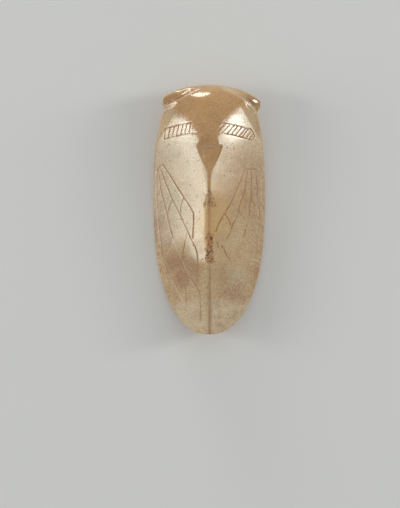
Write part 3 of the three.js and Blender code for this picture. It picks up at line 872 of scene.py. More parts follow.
def edge_distance(x, s):
    """Distance to the outline: to the head's arc, to the row's own ends and to the tail."""
    arc_slope = np.abs(x) / np.sqrt(HEAD_RADIUS**2 - np.minimum(np.abs(x), ARC_REACH) ** 2)
    front = (s - front_arc(x)) / np.hypot(1.0, arc_slope)
    side = np.minimum(x - x[:, :1], x[:, -1:] - x)
    behind = np.maximum(tail_outline(x) - s, 0.0)
    flank = side * behind / np.maximum(np.hypot(side, behind), NEXT_TO_NOTHING)
    return np.maximum(np.minimum(front, flank), 0.0)


def turned_edge(away, radius):
    """How far a quarter circle of that radius has sunk the surface at a distance from the edge."""
    t = np.clip(1.0 - away / radius, 0.0, 1.0)
    return radius * (1.0 - np.sqrt(1.0 - t * t))


def grid_normals(points):
    """Unit normals of a grid of points: the cross product of its two directions."""
    normals = np.cross(np.gradient(points, axis=0), np.gradient(points, axis=1))
    return normals / np.maximum(np.linalg.norm(normals, axis=2, keepdims=True), NEXT_TO_NOTHING)


def as_points(x, s, z):
    """Model axes in millimetres: x across, y towards the head, z up."""
    return np.stack([x, LENGTH / 2 - s, z], axis=-1)


away_from_edge = edge_distance(plan_x, plan_s)
print(f"edge: rounded by {EDGE_ROUND} mm, on the nose by {NOSE_ROUND} mm")

# %% The back's skin
WAVES_FROM_EDGE = (0.0, 1.5)
RECESS_LIP = (-0.06, 0.06)

skin = back_height(plan_x, plan_s) - ridge_wear(plan_x, plan_s) - lip_hollow(plan_x, plan_s)
skin = on_apron(plan_x, plan_s, skin)
eye_flat_share, eye_flat_height = eye_flat(plan_x, plan_s)
skin = mix(skin, eye_flat_height, eye_flat_share)
sunk = np.minimum(skin, recess_floor(plan_x, plan_s))
skin = mix(skin, sunk, ramp(*RECESS_LIP, into_recess(plan_x, plan_s)))
nose_share = ramp(*NOSE_ACROSS, np.abs(plan_x)) * ramp(*NOSE_BEHIND_ARC, plan_s - front_arc(plan_x))
skin = skin - turned_edge(away_from_edge, mix(EDGE_ROUND, NOSE_ROUND, nose_share))
skin = skin + polish_waves(plan_x, plan_s) * ramp(*WAVES_FROM_EDGE, away_from_edge)
lip_share, lip_height = lip_flat(plan_x, plan_s)
skin = mix(skin + nose_plane(plan_x, plan_s), lip_height, lip_share)
print(f"skin: from {skin.min():.1f} to {skin.max():.1f} mm high")

# %% The cuts
CUT_SEED = 41
PALE_CUT_SEED = 43

cut_depth, cut_near, cut_dirt = cut_lines(BACK_LINES, plan_x, plan_s, CUT_SEED)
cut_depth = cut_depth * (1.0 - eye_flat_share) * (1.0 - lip_share)
pale_depth, pale_near, pale_and_highlight_amount = cut_lines(PALE_AND_HIGHLIGHT_LINES, plan_x, plan_s, PALE_CUT_SEED)
inset = np.maximum(cut_depth, pale_depth)
inset = inset + rough_depth(plan_x, plan_s) - raised_lips(plan_x, plan_s)
back_points = as_points(plan_x, plan_s, skin)
back_points = back_points - grid_normals(back_points) * inset[..., None]
print(f"back: {skin.size} points, deepest cut {cut_depth.max():.2f} mm")

# %% [markdown]
# ## The belly as points
# It is hidden when the stone lies down, and the photo doesn't show it, so it stays plain: a flat
# panel to lie on, slopes, five arcs for the rings of the abdomen and a V under the throat. It
# needs half the back's fineness, so it takes every other row and column of the same grid.

# %% Heights of the underside
CHIN_HEIGHT = 3.0
CHIN_RUN = 6.0
EYE_UNDER_HEIGHT = 5.9
KEEL_AHEAD = {"run": 13.8, "power": 1.6}
KEEL_DEPTH = 1.6
PANEL = {"share": 0.45, "run": 18.0, "least": 0.05}
PANEL_SLOPE_POWER = 1.15


def chin_height(x):
    """The chin's lower edge, from its middle up to the eyes along a squared sine."""
    share = np.clip(np.abs(x) / LEFT_EYE["corner"], 0.0, 1.0)
    return mix(CHIN_HEIGHT, EYE_UNDER_HEIGHT, np.sin(0.5 * np.pi * share) ** 2)


def belly_height(x, s):
    """The underside: a flat panel, slopes out to the rim, and a blend up to the chin."""
    rim = rim_height(s)
    half = body_width(x, s)
    share = np.clip(np.abs(x) / half, 0.0, 1.0)
    headward = np.clip(1.0 - s / KEEL_AHEAD["run"], 0.0, 1.0)
    tailward = np.maximum(rim - KEEL_DEPTH * np.sqrt(half / HALF_WIDTH), 0.0)
    keel = np.where(s > WIDEST, tailward, CHIN_HEIGHT * headward ** KEEL_AHEAD["power"])
    panel = PANEL["share"] * np.clip(s / PANEL["run"], PANEL["least"], 1.0)
    slope = np.clip((share - panel) / (1.0 - panel), 0.0, 1.0)
    under = mix(np.minimum(keel, rim), rim, slope**PANEL_SLOPE_POWER)
    return mix(chin_height(x), under, ramp(0.0, CHIN_RUN, s - front_arc(x)))


print(f"underside: chin {CHIN_HEIGHT} mm up, its flat reaches the floor")

# %% Lines of the underside
RINGS = {"count": 5, "first": 0.62, "step": 0.055, "half_share": 0.42, "bow": 1.2, "points": 7}
THROAT = [
    [(-45.0, 20.0), (0.0, 33.0), (45.0, 20.0)],
    [(0.0, 7.0), (0.0, 30.0)],
]


def ring_line(number):
    """One ring of the abdomen: a parabola across the belly."""
    s = (RINGS["first"] + RINGS["step"] * number) * LENGTH
    ends = RINGS["half_share"] * float(flank_width(LEFT_EYE, s))
    x = np.linspace(-1.0, 1.0, RINGS["points"])
    return np.column_stack([ends * x, s - RINGS["bow"] * x**2])


ring_lines = [ring_line(number) for number in range(RINGS["count"])]
BELLY_LINES = [
    {"lines": ring_lines + all_on_stone(THROAT), "half_width": 0.35, "depth": 0.22, "dirt": 0.6},
]
print(f"underside: {len(ring_lines)} rings and {len(THROAT)} lines under the throat")

# %% Belly surface
BELLY_CUT_SEED = 51
FINENESS = 2
UNDERCUT = 0.34


def drawn_in(x, s, inward):
    """A plan drawn in towards the middle by some millimetres at the widest line."""
    share = 1.0 - inward / HALF_WIDTH
    return x * share, LENGTH / 2 + (s - LENGTH / 2) * share


belly_x = plan_x[::FINENESS, ::FINENESS]
belly_s = plan_s[::FINENESS, ::FINENESS]
under = belly_height(belly_x, belly_s)
under[:, [0, -1]] = rim_height(belly_s[:, [0, -1]])
under[-1] = rim_height(belly_s[-1])
under[0] = chin_height(belly_x[0])
belly_depth, belly_near, belly_dirt = cut_lines(BELLY_LINES, belly_x, belly_s, BELLY_CUT_SEED)
belly_points = as_points(*drawn_in(belly_x, belly_s, UNDERCUT), under + belly_depth)
print(f"belly: {under.size} points")

# %% [markdown]
# ## The band round the edge
# Rings of points run from the back's edge down to the belly's, drawn in a little more with each
# step. Bridging the two grids by hand would leave long thin faces. The last strip joins a fine ring
# to one of half as many points, like the teeth of a zip.

# %% Faces of grids and rings
def loop_indices(rows, columns):
    """Grid indices round the boundary, clockwise seen from above, from the head's left corner."""
    index = np.arange((rows + 1) * (columns + 1)).reshape(rows + 1, columns + 1)
    return np.concatenate([index[0, :-1], index[:-1, -1], index[-1, :0:-1], index[:0:-1, 0]])


def grid_quads(rows, columns, start, upward):
    """Quads of a grid, facing up or down."""
    index = np.arange((rows + 1) * (columns + 1)).reshape(rows + 1, columns + 1) + start
    a, b, c, d = index[:-1, :-1], index[1:, :-1], index[1:, 1:], index[:-1, 1:]
    order = (a, b, c, d) if upward else (a, d, c, b)
    return np.stack([corner.ravel() for corner in order], axis=1)


def ring_quads(upper, lower):
    """Quads between two rings of equal count, facing outwards."""
    return np.stack([upper, np.roll(upper, -1), np.roll(lower, -1), lower], axis=1)


def zip_triangles(fine, coarse):
    """Triangles from a fine ring down to one with half its points."""
    even = fine[0::2]
    odd = fine[1::2]
    even_next = np.roll(even, -1)
    coarse_next = np.roll(coarse, -1)
    first = np.stack([even, odd, coarse], axis=1)
    middle = np.stack([odd, coarse_next, coarse], axis=1)
    last = np.stack([odd, even_next, coarse_next], axis=1)
    return np.vstack([first, middle, last])


print("faces: quads for grids and rings, triangles where a fine ring meets a coarse one")

# %% Stone mesh
BAND_STEPS = [(0.22, 0.0), (0.5, 0.03), (0.74, 0.1), (0.9, 0.2)]
loop = loop_indices(ROWS, COLUMNS)


def band_rings():
    """Points of each ring: heights between the edges, by shares, and how far each is drawn in."""
    loop_x = plan_x.ravel()[loop]
    loop_s = plan_s.ravel()[loop]
    on_front = np.arange(len(loop)) <= COLUMNS
    low = np.where(on_front, chin_height(loop_x), rim_height(loop_s))
    top = back_points.reshape(-1, 3)[loop, 2]
    return [as_points(*drawn_in(loop_x, loop_s, inward), mix(top, low, fall))
            for fall, inward in BAND_STEPS]


def stone_mesh():
    """All points and faces: back grid, band rings, belly grid and the zip between."""
    rings = band_rings()
    points = [back_points.reshape(-1, 3), *rings, belly_points.reshape(-1, 3)]
    faces = [grid_quads(ROWS, COLUMNS, 0, True)]
    upper = loop
    count = len(points[0])
    for ring in rings:
        lower = np.arange(count, count + len(ring))
        faces.append(ring_quads(upper, lower))
        upper = lower
        count += len(ring)
    belly_rows = ROWS // FINENESS
    belly_columns = COLUMNS // FINENESS
    faces.append(grid_quads(belly_rows, belly_columns, count, False))
    faces.append(zip_triangles(upper, loop_indices(belly_rows, belly_columns) + count))
    return np.vstack(points), [face for part in faces for face in part.tolist()]


points, faces = stone_mesh()
mesh = bpy.data.meshes.new("carved_cicada")
mesh.from_pydata((points * MM).tolist(), [], faces)
mesh.validate()
mesh.shade_smooth()
cicada = bpy.data.objects.new("carved_cicada", mesh)
bpy.context.scene.collection.objects.link(cicada)
triangles = sum(len(face) - 2 for face in faces)
print(f"stone: {len(points)} points, {triangles} triangles")

# %% [markdown]
# ## Where the colours lie
# Colour follows the stone: it is thin and warm at the edge, clear over the head, the crest and
# the recess, and clouded over the wings. The clear tan is also painted shade, where the flat crown
# mirrors only the dim room. On top lie honey beside the ridge, lightened as a painted glow, grey
# clouds, russet stains, one of them painted shade on the left flank, and red dots. They could be
# painted on a picture with a UV map. Here each is a number from 0 to 1 stored on the mesh's
# points, worked out from the place, so it needs no picture and stays put from every side. Most
# are blurred ovals with ragged rims: x, s, half width, half length and strength.

# %% Spots of colour
STAINS_AND_FLANK_SHADE = [
    (-8.4, 42.4, 2.4, 3.8, 0.95),
    (-6.7, 46.2, 2.8, 4.0, 0.9),
    (-4.6, 44.2, 3.4, 3.2, 0.7),
    (-3.0, 27.4, 0.5, 0.8, 0.8),
    (-3.9, 28.4, 0.9, 0.3, 0.7),
    (-8.2, 50.5, 1.6, 3.2, 0.4),
    (6.3, 50.0, 4.2, 3.0, 0.52),
    (3.7, 47.0, 2.5, 3.4, 0.42),
    (-6.5, 6.8, 2.8, 2.0, 0.35),
    (11.6, 10.0, 1.4, 4.0, 0.4),
    (6.0, 22.5, 6.0, 10.0, 0.33),
    (-6.6, 43.2, 2.4, 2.6, 0.9),
    (-3.6, 46.6, 2.2, 2.4, 0.5),
    # This oval is painted shade on the left flank, where it turns from the lamps.
    (-11.6, 35.0, 4.0, 5.6, 0.72),
]
# Honey beside the ridge, lightened as a painted glow where the lamps light it.
HONEY_WITH_GLOW = [
    (-0.9, 34.5, 2.6, 9.5, 1.0),
    (2.0, 28.5, 4.2, 8.5, 0.75),
    (5.0, 22.0, 6.0, 9.0, 0.6),
    (-1.8, 23.5, 2.4, 6.0, 0.4),
]
GREY_CLOUDS = [
    (-9.6, 29.0, 3.6, 9.0, 0.5),
    (-9.3, 16.5, 3.4, 4.5, 0.4),
    (-8.0, 5.8, 4.0, 3.0, 0.6),
    (7.0, 46.5, 3.6, 4.0, 0.35),
]
RED_DOTS = [
    (-11.2, 43.0, 3.0, 12.0, 1.0),
    (-6.0, 54.0, 4.0, 5.0, 0.5),
    (9.6, 15.5, 3.4, 5.0, 0.7),
    (-7.5, 5.8, 3.5, 2.2, 0.5),
    (12.0, 38.0, 1.8, 12.0, 0.5),
]
ORANGE_EDGE = (12.2, 46.5, 2.1, 5.6, 1.0)
print(f"spots: {len(STAINS_AND_FLANK_SHADE)} stains, {len(HONEY_WITH_GLOW)} of honey, {len(GREY_CLOUDS)} grey clouds")

# %% Blurred ovals
OVAL_RIM = (1.25, 0.2)
RAGGED_WIDE = {"amount": 0.4, "size": 1.9}
RAGGED_NARROW = {"amount": 0.2, "size": 0.6}
RAGGED_ORANGE = {"amount": 0.2, "size": 1.5, "seed": 63}


def blurred_oval(x, s, spot, ragged):
    """A spot's strength, falling from its middle to its rim, which the raggedness shifts."""
    middle_x, middle_s, half_x, half_s, strength = spot
    away = np.hypot((x - middle_x) / half_x, (s - middle_s) / half_s)
    return strength * ramp(*OVAL_RIM, away + ragged)


def spotted_zone(x, s, spots, seed):
    """The strongest of several blurred ovals at each place, with ragged rims."""
    ragged = swing(x, s, RAGGED_WIDE["amount"], RAGGED_WIDE["size"], seed)
    ragged = ragged + swing(x, s, RAGGED_NARROW["amount"], RAGGED_NARROW["size"], seed + 1)
    return np.max([blurred_oval(x, s, spot, ragged) for spot in spots], axis=0)


def orange_zone(x, s):
    """The orange part of the right edge."""
    ragged = swing(x, s, RAGGED_ORANGE["amount"], RAGGED_ORANGE["size"], RAGGED_ORANGE["seed"])
    return blurred_oval(x, s, ORANGE_EDGE, ragged)


print(f"ragged rims: up to {RAGGED_WIDE['amount'] / 2} of a spot's own size")

# %% Clear stone, also painted shade on the crown
WAIST = {"half": 2.8, "opening": 0.5, "from": 12.8, "power": 1.3}
COLLAR_WAIST = {"at": 11.3, "reach": 1.4, "shift": 0.6, "over": 2.0, "sides": (-1.0, 0.7)}
CLEAR_RIDGE_HALF = 0.28
CLEAR_ENDS = (44.0, 34.0)
CLEAR_RIM = (0.4, -0.3)
CLEAR_BLUR = 0.3


def clear_and_shaded_zone(x, s):
    """Clear stone, with painted shade: an hourglass from head to recess, and a line along the
    ridge.
    """
    ahead = np.maximum(WAIST["from"] - s, 0.0)
    waist = WAIST["half"] + WAIST["opening"] * ahead ** WAIST["power"]
    at_collar = np.exp(-(((s - COLLAR_WAIST["at"]) / COLLAR_WAIST["reach"]) ** 2))
    aside = np.clip(x / COLLAR_WAIST["over"], *COLLAR_WAIST["sides"])
    waist = waist - COLLAR_WAIST["shift"] * at_collar * aside
    left, right = recess_edges(s)
    behind = np.maximum(np.where(x < 0.0, -left, right), CLEAR_RIDGE_HALF)
    waist = np.where(s > RECESS_CORNERS, behind, waist)
    past_edge = (np.abs(x) - waist) / np.maximum(CLEAR_BLUR * waist, CLEAR_BLUR)
    return ramp(*CLEAR_ENDS, s) * ramp(*CLEAR_RIM, past_edge)


print(f"clear stone: {2 * WAIST['half']} mm wide at its waist")

# %% [markdown]
# Polish and wear have zones too. The head and the shoulders are polished best, the left wing's
# rear is worn dull along a slanting line, and so is most of the right wing's rear half. The rest
# are parts of the stone that lie past a range across it and between two ranges along it.

# %% Parts of the stone
EVERYWHERE = (-99.0, -98.0)
NO_END = (99.0, 98.0)


def zone_part(x, s, part):
    """A part's strength where x, or its size for a part on both sides, and s pass their ranges."""
    place = np.abs(x) if part.get("both_sides") else x
    across = ramp(*part.get("across", EVERYWHERE), place)
    along = stretch(part.get("rise", EVERYWHERE), part.get("fall", NO_END), s)
    return part.get("strength", 1.0) * across * along


def strongest_part(x, s, parts):
    """The strongest of several parts at each place."""
    return np.max([zone_part(x, s, part) for part in parts], axis=0)


print("parts of the stone: a range across, a rise and a fall along, and a strength")

# %% Polish and flecks
HEAD_POLISH_ENDS = (16.0, 11.0)
LEFT_DULL = {"at": 38.4, "slant": 4.6, "across": (-6.2, -2.6), "rear": 0.7, "fades": (53.0, 48.5)}
RIGHT_DULL = {"rise": (23.0, 33.0), "slant": 0.4, "fall": (56.0, 51.0)}
DULL_BLUR = {"inner": 1.3, "outer": 3.4, "across": (-2.5, -6.0)}
DULL_PATCHES = {"amount": 0.25, "size": 2.2, "seed": 71}
FLECKED_ALL_OVER = 0.35
FLECKED_PARTS = [
    {"across": (1.0, -6.0), "rise": (8.0, 14.0), "strength": 0.4},
    {"across": (2.0, 6.0), "rise": (12.0, 16.0), "strength": 0.3},
    {"both_sides": True, "across": (8.5, 12.0), "strength": 0.35},
    {"rise": (43.0, 54.0), "strength": 0.4},
]


def polished_zone(x, s):
    """The finest polish: the head and the shoulders back to the collar, and the clear stone."""
    return np.maximum(ramp(*HEAD_POLISH_ENDS, s), clear_and_shaded_zone(x, s))


def dull_zone(x, s):
    """Worn polish: a slanting band on the left wing and most of the right wing's rear half."""
    blur = mix(DULL_BLUR["inner"], DULL_BLUR["outer"], ramp(*DULL_BLUR["across"], x))
    line = LEFT_DULL["at"] + LEFT_DULL["slant"] * ramp(*LEFT_DULL["across"], x)
    left = ramp(-1.0, 1.0, (s - line) / blur)
    left = left * mix(LEFT_DULL["rear"], 1.0, ramp(*LEFT_DULL["fades"], s))
    right = ramp(*RIGHT_DULL["rise"], s + RIGHT_DULL["slant"] * x) * ramp(*RIGHT_DULL["fall"], s)
    patchy = 1.0 + swing(x, s, DULL_PATCHES["amount"], DULL_PATCHES["size"], DULL_PATCHES["seed"])
    return np.clip(np.where(x < 0.0, left, right) * patchy, 0.0, 1.0)


def grainy_zone(x, s):
    """How strongly the skin is flecked: most on the left wing, at the edges and at the tail."""
    parts = sum(zone_part(x, s, part) for part in FLECKED_PARTS)
    return np.clip(FLECKED_ALL_OVER + parts, 0.0, 1.0)


print(f"flecks: strongest in {len(FLECKED_PARTS)} parts of the stone")

# %% [markdown]
# Wear also leaves browner and paler skin, in patches beside the edges and in a scrape in the
# recess. The skin is browner along the ridge and in small pinholes. Painted shade darkens the
# edges of the recess and the flanks. At the tail and along the right brow the stone is paler
# with a painted sheen, and a painted highlight lies on the step.

# %% Browner skin and painted shade
RIDGE_SHADE = {"x": 0.14, "half": 0.22, "half_aft": 0.36, "widens": (44.0, 54.0), "rim": (1.6, 0.3)}
RIDGE_SHADE_STARTS = (43.0, 45.5)
RIDGE_WAVER = {"amount": 0.12, "size": 2.4, "seed": 81}
OUTLINE_SHADE = {"inside": 0.1, "rim": (0.3, 0.05), "rear": 0.35, "fades": (16.5, 18.5)}
PAINTED_FLANK_SHADE = [
    {"across": (8.0, 12.0), "rise": (13.0, 21.0), "fall": (54.0, 46.0)},
    {"across": (-8.5, -11.5), "rise": (11.5, 14.0), "fall": (30.0, 18.0)},
]
EYE_SHADE = {"x": -6.3, "s": 3.8, "half_x": 4.0, "half_s": 2.6, "strength": 0.8, "rim": (1.2, 0.4)}


def ridge_shade(x, s):
    """A brown line along the rear of the ridge, half a millimetre wide and wavering."""
    waver = swing(x, s, RIDGE_WAVER["amount"], RIDGE_WAVER["size"], RIDGE_WAVER["seed"])
    half = mix(RIDGE_SHADE["half"], RIDGE_SHADE["half_aft"], ramp(*RIDGE_SHADE["widens"], s))
    away = np.abs(x - RIDGE_SHADE["x"] + waver) / half
    return ramp(*RIDGE_SHADE["rim"], away) * ramp(*RIDGE_SHADE_STARTS, s)


def painted_recess_edge_shade(x, s):
    """Painted shade: 1 on the edges of the recess, falling to 0 within a fifth of a millimetre."""
    away = np.abs(into_recess(x, s) - OUTLINE_SHADE["inside"])
    fading = mix(1.0, OUTLINE_SHADE["rear"], ramp(*OUTLINE_SHADE["fades"], s))
    return ramp(*OUTLINE_SHADE["rim"], away) * fading


def painted_flank_shade(x, s):
    """Painted shade: darker skin where the flanks turn from the lamps, on the right flank and on
    the left one behind the collar, and darker by the left eye.
    """
    eye_x = (x - EYE_SHADE["x"]) / EYE_SHADE["half_x"]
    eye_s = (s - EYE_SHADE["s"]) / EYE_SHADE["half_s"]
    eye = EYE_SHADE["strength"] * ramp(*EYE_SHADE["rim"], np.hypot(eye_x, eye_s))
    return np.maximum(strongest_part(x, s, PAINTED_FLANK_SHADE), eye)


print(f"brown lines: along the ridge {2 * RIDGE_SHADE['half']} mm wide, and round the recess")

# %% Uneven skin and pinholes
UNEVEN_PARTS = [
    {"both_sides": True, "across": (7.5, 11.5), "rise": (12.0, 18.0)},
    {"rise": (46.0, 52.0), "strength": 0.7},
    {"both_sides": True, "across": (4.0, 7.0), "rise": (12.5, 15.0), "fall": (34.0, 26.0),
     "strength": 0.8},
]
UNEVEN_PATCHES = [{"size": 2.2, "seed": 91}, {"size": 0.8, "seed": 93}]
UNEVEN_FROM = (0.45, 0.75)
PINHOLES = [(-3.61, 15.43), (-2.79, 18.1), (-2.6, 19.1), (-1.65, 23.4), (-1.27, 24.0), (6.4, 7.6),
            (8.1, 8.4)]
PINHOLE_RIM = (0.24, 0.08)


def uneven_skin(x, s):
    """Browner patches some millimetres across by the edges, at the tail and on the left front."""
    wide, narrow = [value_noise(x, s, patch["size"], patch["seed"]) for patch in UNEVEN_PATCHES]
    return strongest_part(x, s, UNEVEN_PARTS) * ramp(*UNEVEN_FROM, mix(wide, narrow, 0.5))


def pinholes(x, s):
    """Small dark holes at chosen places, a fifth of a millimetre in radius."""
    away = [np.hypot(x - hole_x, s - hole_s) for hole_x, hole_s in PINHOLES]
    return ramp(*PINHOLE_RIM, np.min(away, axis=0))


print(f"pinholes: {len(PINHOLES)}")

# %% Paler skin and painted highlights
STEP_HIGHLIGHT = {"past": 0.03, "rim": (0.2, 0.04), "inside": (0.1, 0.6)}
TAIL_LIGHT = {"rise": (50.0, 55.5), "size": 0.9, "seed": 83, "ridge": 0.15, "beside": (0.3, 1.2)}
SCUFF = {"x": -1.35, "s": 17.6, "half_x": 0.55, "half_s": 1.5, "rim": (1.1, 0.4)}
SCUFF_GRAIN = {"size": 0.35, "seed": 85, "from": (0.35, 0.7)}
PALE_BROW_AND_SHEEN = {"line": np.array([(3.6, 1.2), (6.2, 2.2), (8.2, 3.0)]), "rim": (0.95, 0.3)}
EDGE_PATCHES = [
    {"both_sides": True, "across": (8.8, 12.0), "rise": (13.0, 20.0)},
    {"both_sides": True, "across": (1.0, 3.0), "rise": (47.0, 53.0)},
]
EDGE_PATCH_SIZE = 0.5
EDGE_PATCH_SEED = 87
EDGE_PATCH_FROM = (0.65, 0.9)


def painted_step_highlight(x, s):
    """Painted highlight: 1 on the step across the recess, where it catches light."""
    left, right = recess_edges(s)
    away = np.abs(s - step_line(x) - STEP_HIGHLIGHT["past"])
    inside = ramp(*STEP_HIGHLIGHT["inside"], np.minimum(x - left, right - x))
    return ramp(*STEP_HIGHLIGHT["rim"], away) * inside


def pale_tail_and_sheen(x, s):
    """Paler stone at the tail, in patches a millimetre across, with a painted sheen in them."""
    beside = ramp(*TAIL_LIGHT["beside"], np.abs(x - TAIL_LIGHT["ridge"]))
    patches = value_noise(x, s, TAIL_LIGHT["size"], TAIL_LIGHT["seed"])
    return ramp(*TAIL_LIGHT["rise"], s) * patches * beside


def scuff(x, s):
    """A dull pale scrape in the recess: a blurred oval broken up by noise."""
    away = np.hypot((x - SCUFF["x"]) / SCUFF["half_x"], (s - SCUFF["s"]) / SCUFF["half_s"])
    grain = value_noise(x, s, SCUFF_GRAIN["size"], SCUFF_GRAIN["seed"])
    return ramp(*SCUFF["rim"], away) * ramp(*SCUFF_GRAIN["from"], grain)


def pale_brow_and_sheen(x, s):
    """Paler stone along the head's right front, between the rim and the eye groove, with a painted
    sheen.
    """
    return ramp(*PALE_BROW_AND_SHEEN["rim"], distance_to(PALE_BROW_AND_SHEEN["line"], x, s))


def edge_patches(x, s):
    """Small patches beside the edges, where the skin is worn unevenly."""
    patches = value_noise(x, s, EDGE_PATCH_SIZE, EDGE_PATCH_SEED)
    return ramp(*EDGE_PATCH_FROM, strongest_part(x, s, EDGE_PATCHES) * patches)


print(f"paler skin: from {TAIL_LIGHT['rise'][0]} mm on at the tail, and in small patches")

# %% [markdown]
# ## From places to points
# A named attribute holds one number for each point of the mesh, and a material reads it by its
# name. The zones are worked out on the back's grid. The hidden band and belly get one plain value
# each, which are the last two numbers. Spotted zones have a seed and a value for the band.

# %% The strongest of several zones
# Paler skin, with a painted highlight on the step and a painted sheen at the tail and the brow.
PALE_AND_HIGHLIGHT_ZONES = [
    (painted_step_highlight, 0.5),
    (pale_tail_and_sheen, 0.45),
    (scuff, 0.35),
    (pale_brow_and_sheen, 0.35),
    (edge_patches, 0.35),
]
# Browner skin, with painted shade on the edges of the recess and on the flanks.
BROWN_AND_SHADE_ZONES = [
    (ridge_shade, 0.4),
    (painted_recess_edge_shade, 0.3),
    (painted_flank_shade, 0.25),
    (uneven_skin, 0.4),
    (pinholes, 0.9),
]


def strongest(zones):
    """At each place of the back the strongest of several zones, each times its own share."""
    return np.max([share * zone(plan_x, plan_s) for zone, share in zones], axis=0)


print(f"zones: {len(PALE_AND_HIGHLIGHT_ZONES)} of paler skin, {len(BROWN_AND_SHADE_ZONES)} of browner skin")

# %% Store them on the mesh
EDGE_GLOW = (0.7, 0.0)
PALE_LINE_CORE = (0.6, 0.9)
SPOTTED_ZONES = [
    ("stain", STAINS_AND_FLANK_SHADE, 61, 0.15),
    ("honey_and_painted_glow", HONEY_WITH_GLOW, 64, 0.0),
    ("grey_cloud", GREY_CLOUDS, 67, 0.2),
    ("red_dots", RED_DOTS, 69, 0.3),
]


def store(name, back, band, belly):
    """Puts values on the mesh's points, in their order: back, band rings, belly."""
    rings = np.full(len(loop) * len(BAND_STEPS), band)
    below = np.broadcast_to(belly, belly_x.shape)
    values = np.concatenate([back.ravel(), rings, below.ravel()])
    attribute = mesh.attributes.new(name, "FLOAT", "POINT")
    attribute.data.foreach_set("value", np.ascontiguousarray(values, dtype=np.float32))
    print(f"  {name}: mean {values.mean():.3f}, most {values.max():.2f}")


pale_and_highlight_lines = ramp(*PALE_LINE_CORE, pale_near) * pale_and_highlight_amount
store("line_near", cut_near, 0.0, belly_near)
store("line_dirt", cut_dirt, 0.0, belly_dirt)
store("pale_skin_and_painted_highlights", np.maximum(pale_and_highlight_lines, strongest(PALE_AND_HIGHLIGHT_ZONES)), 0.0, 0.0)
store("clear_and_shaded_stone", clear_and_shaded_zone(plan_x, plan_s), 0.35, 0.3)
store("thin_edge", ramp(*EDGE_GLOW, away_from_edge), 1.0, 0.2)
store("orange_edge", orange_zone(plan_x, plan_s), 0.3, 0.0)
for zone_name, spots, spot_seed, on_band in SPOTTED_ZONES:
    store(zone_name, spotted_zone(plan_x, plan_s, spots, spot_seed), on_band, 0.0)
store("grainy", grainy_zone(plan_x, plan_s), 0.8, 0.5)
store("brown_skin_and_painted_shade", strongest(BROWN_AND_SHADE_ZONES), 0.0, 0.0)
store("polish", polished_zone(plan_x, plan_s), 0.0, 0.0)
store("dull", dull_zone(plan_x, plan_s), 0.5, 0.5)
store("rough_place", rough_zone(plan_x, plan_s), 0.0, 0.0)

# %% [markdown]
# ## The jade
# Polished nephrite is a dense felt of fibres: light goes a little way in, and a skin as smooth
# as wax reflects the lamps. Glossy paint would look dead, and light scattered through the whole
# volume is slow to work out. So it is a Principled shader with some subsurface light, a fairly
# sharp reflection and a thin coat. The nodes come from a few helpers, and each finish below is a
# function that takes the colour so far and gives it back changed, like one layer on another.

# %% Nodes and links
def connect(tree, socket, value):
    """Links an output to a socket, or sets the socket to a plain value."""
    if isinstance(value, bpy.types.NodeSocket):
        tree.links.new(value, socket)
    else:
        socket.default_value = value


def add_node(tree, kind, label, **inputs):
    """A node with a label, with its named inputs set or linked."""
    node = tree.nodes.new(kind)
    node.label = label
    for name, value in inputs.items():
        connect(tree, node.inputs[name.replace("_", " ")], value)
    return node


print("node helpers: one links or sets a socket, one adds a node with its inputs")

# %% Arithmetic and colours as nodes
MIX_FACTOR = 0
MIX_FIRST_COLOUR = 6
MIX_SECOND_COLOUR = 7
MIX_COLOUR_RESULT = 2


def value_of(tree, name):
    """The output of an attribute stored on the mesh's points."""
    node = tree.nodes.new("ShaderNodeAttribute")
    node.attribute_name = name
    return node.outputs["Fac"]


def remap(tree, value, span, result):
    """A smooth map of a value from one range to another."""
    node = tree.nodes.new("ShaderNodeMapRange")
    node.interpolation_type = "SMOOTHSTEP"
    for name, number in zip(("From Min", "From Max", "To Min", "To Max"), span + result):
        node.inputs[name].default_value = number
    tree.links.new(value, node.inputs["Value"])
    return node.outputs["Result"]


def blend(tree, factor, below, above):
    """Mixes two colours by a factor. Their sockets come after those for numbers and vectors."""
    node = tree.nodes.new("ShaderNodeMix")
    node.data_type = "RGBA"
    connect(tree, node.inputs[MIX_FACTOR], factor)
    connect(tree, node.inputs[MIX_FIRST_COLOUR], below)
    connect(tree, node.inputs[MIX_SECOND_COLOUR], above)
    return node.outputs[MIX_COLOUR_RESULT]


def calculate(tree, operation, first, second):
    """One step of arithmetic on two values."""
    node = tree.nodes.new("ShaderNodeMath")
    node.operation = operation
    connect(tree, node.inputs[0], first)
    connect(tree, node.inputs[1], second)
    return node.outputs[0]


print("node helpers: attributes, maps, mixes of colours and sums")

# %% Textures as nodes
NOISE_ROUGHNESS = 0.6
NOTHING_TO_ALL = (0.0, 1.0)


def noise(tree, place, texture):
    """Noise on the object's own coordinates, with a scale in turns per metre."""
    node = tree.nodes.new("ShaderNodeTexNoise")
    node.inputs["Scale"].default_value = texture["scale"]
    node.inputs["Detail"].default_value = texture["detail"]
    node.inputs["Roughness"].default_value = NOISE_ROUGHNESS
    tree.links.new(place, node.inputs["Vector"])
    return node.outputs["Fac"]


def cells(tree, place, scale):
    """Distance to scattered points, in cells, and a random colour for each cell."""
    node = tree.nodes.new("ShaderNodeTexVoronoi")
    node.inputs["Scale"].default_value = scale
    tree.links.new(place, node.inputs["Vector"])
    return node.outputs["Distance"], node.outputs["Color"]


def scattered(tree, place, kind, zone=None):
    """Small round specks where points are scattered, in some of the cells and in a zone."""
    distance, colour = cells(tree, place, kind["scale"])
    speck = remap(tree, distance, kind["rim"], kind["cover"])
    if zone is not None:
        speck = calculate(tree, "MULTIPLY", speck, zone)
    return calculate(tree, "MULTIPLY", speck, remap(tree, colour, kind["present"], NOTHING_TO_ALL))


print("node helpers: noise, and specks in cells, both on the object's own coordinates")

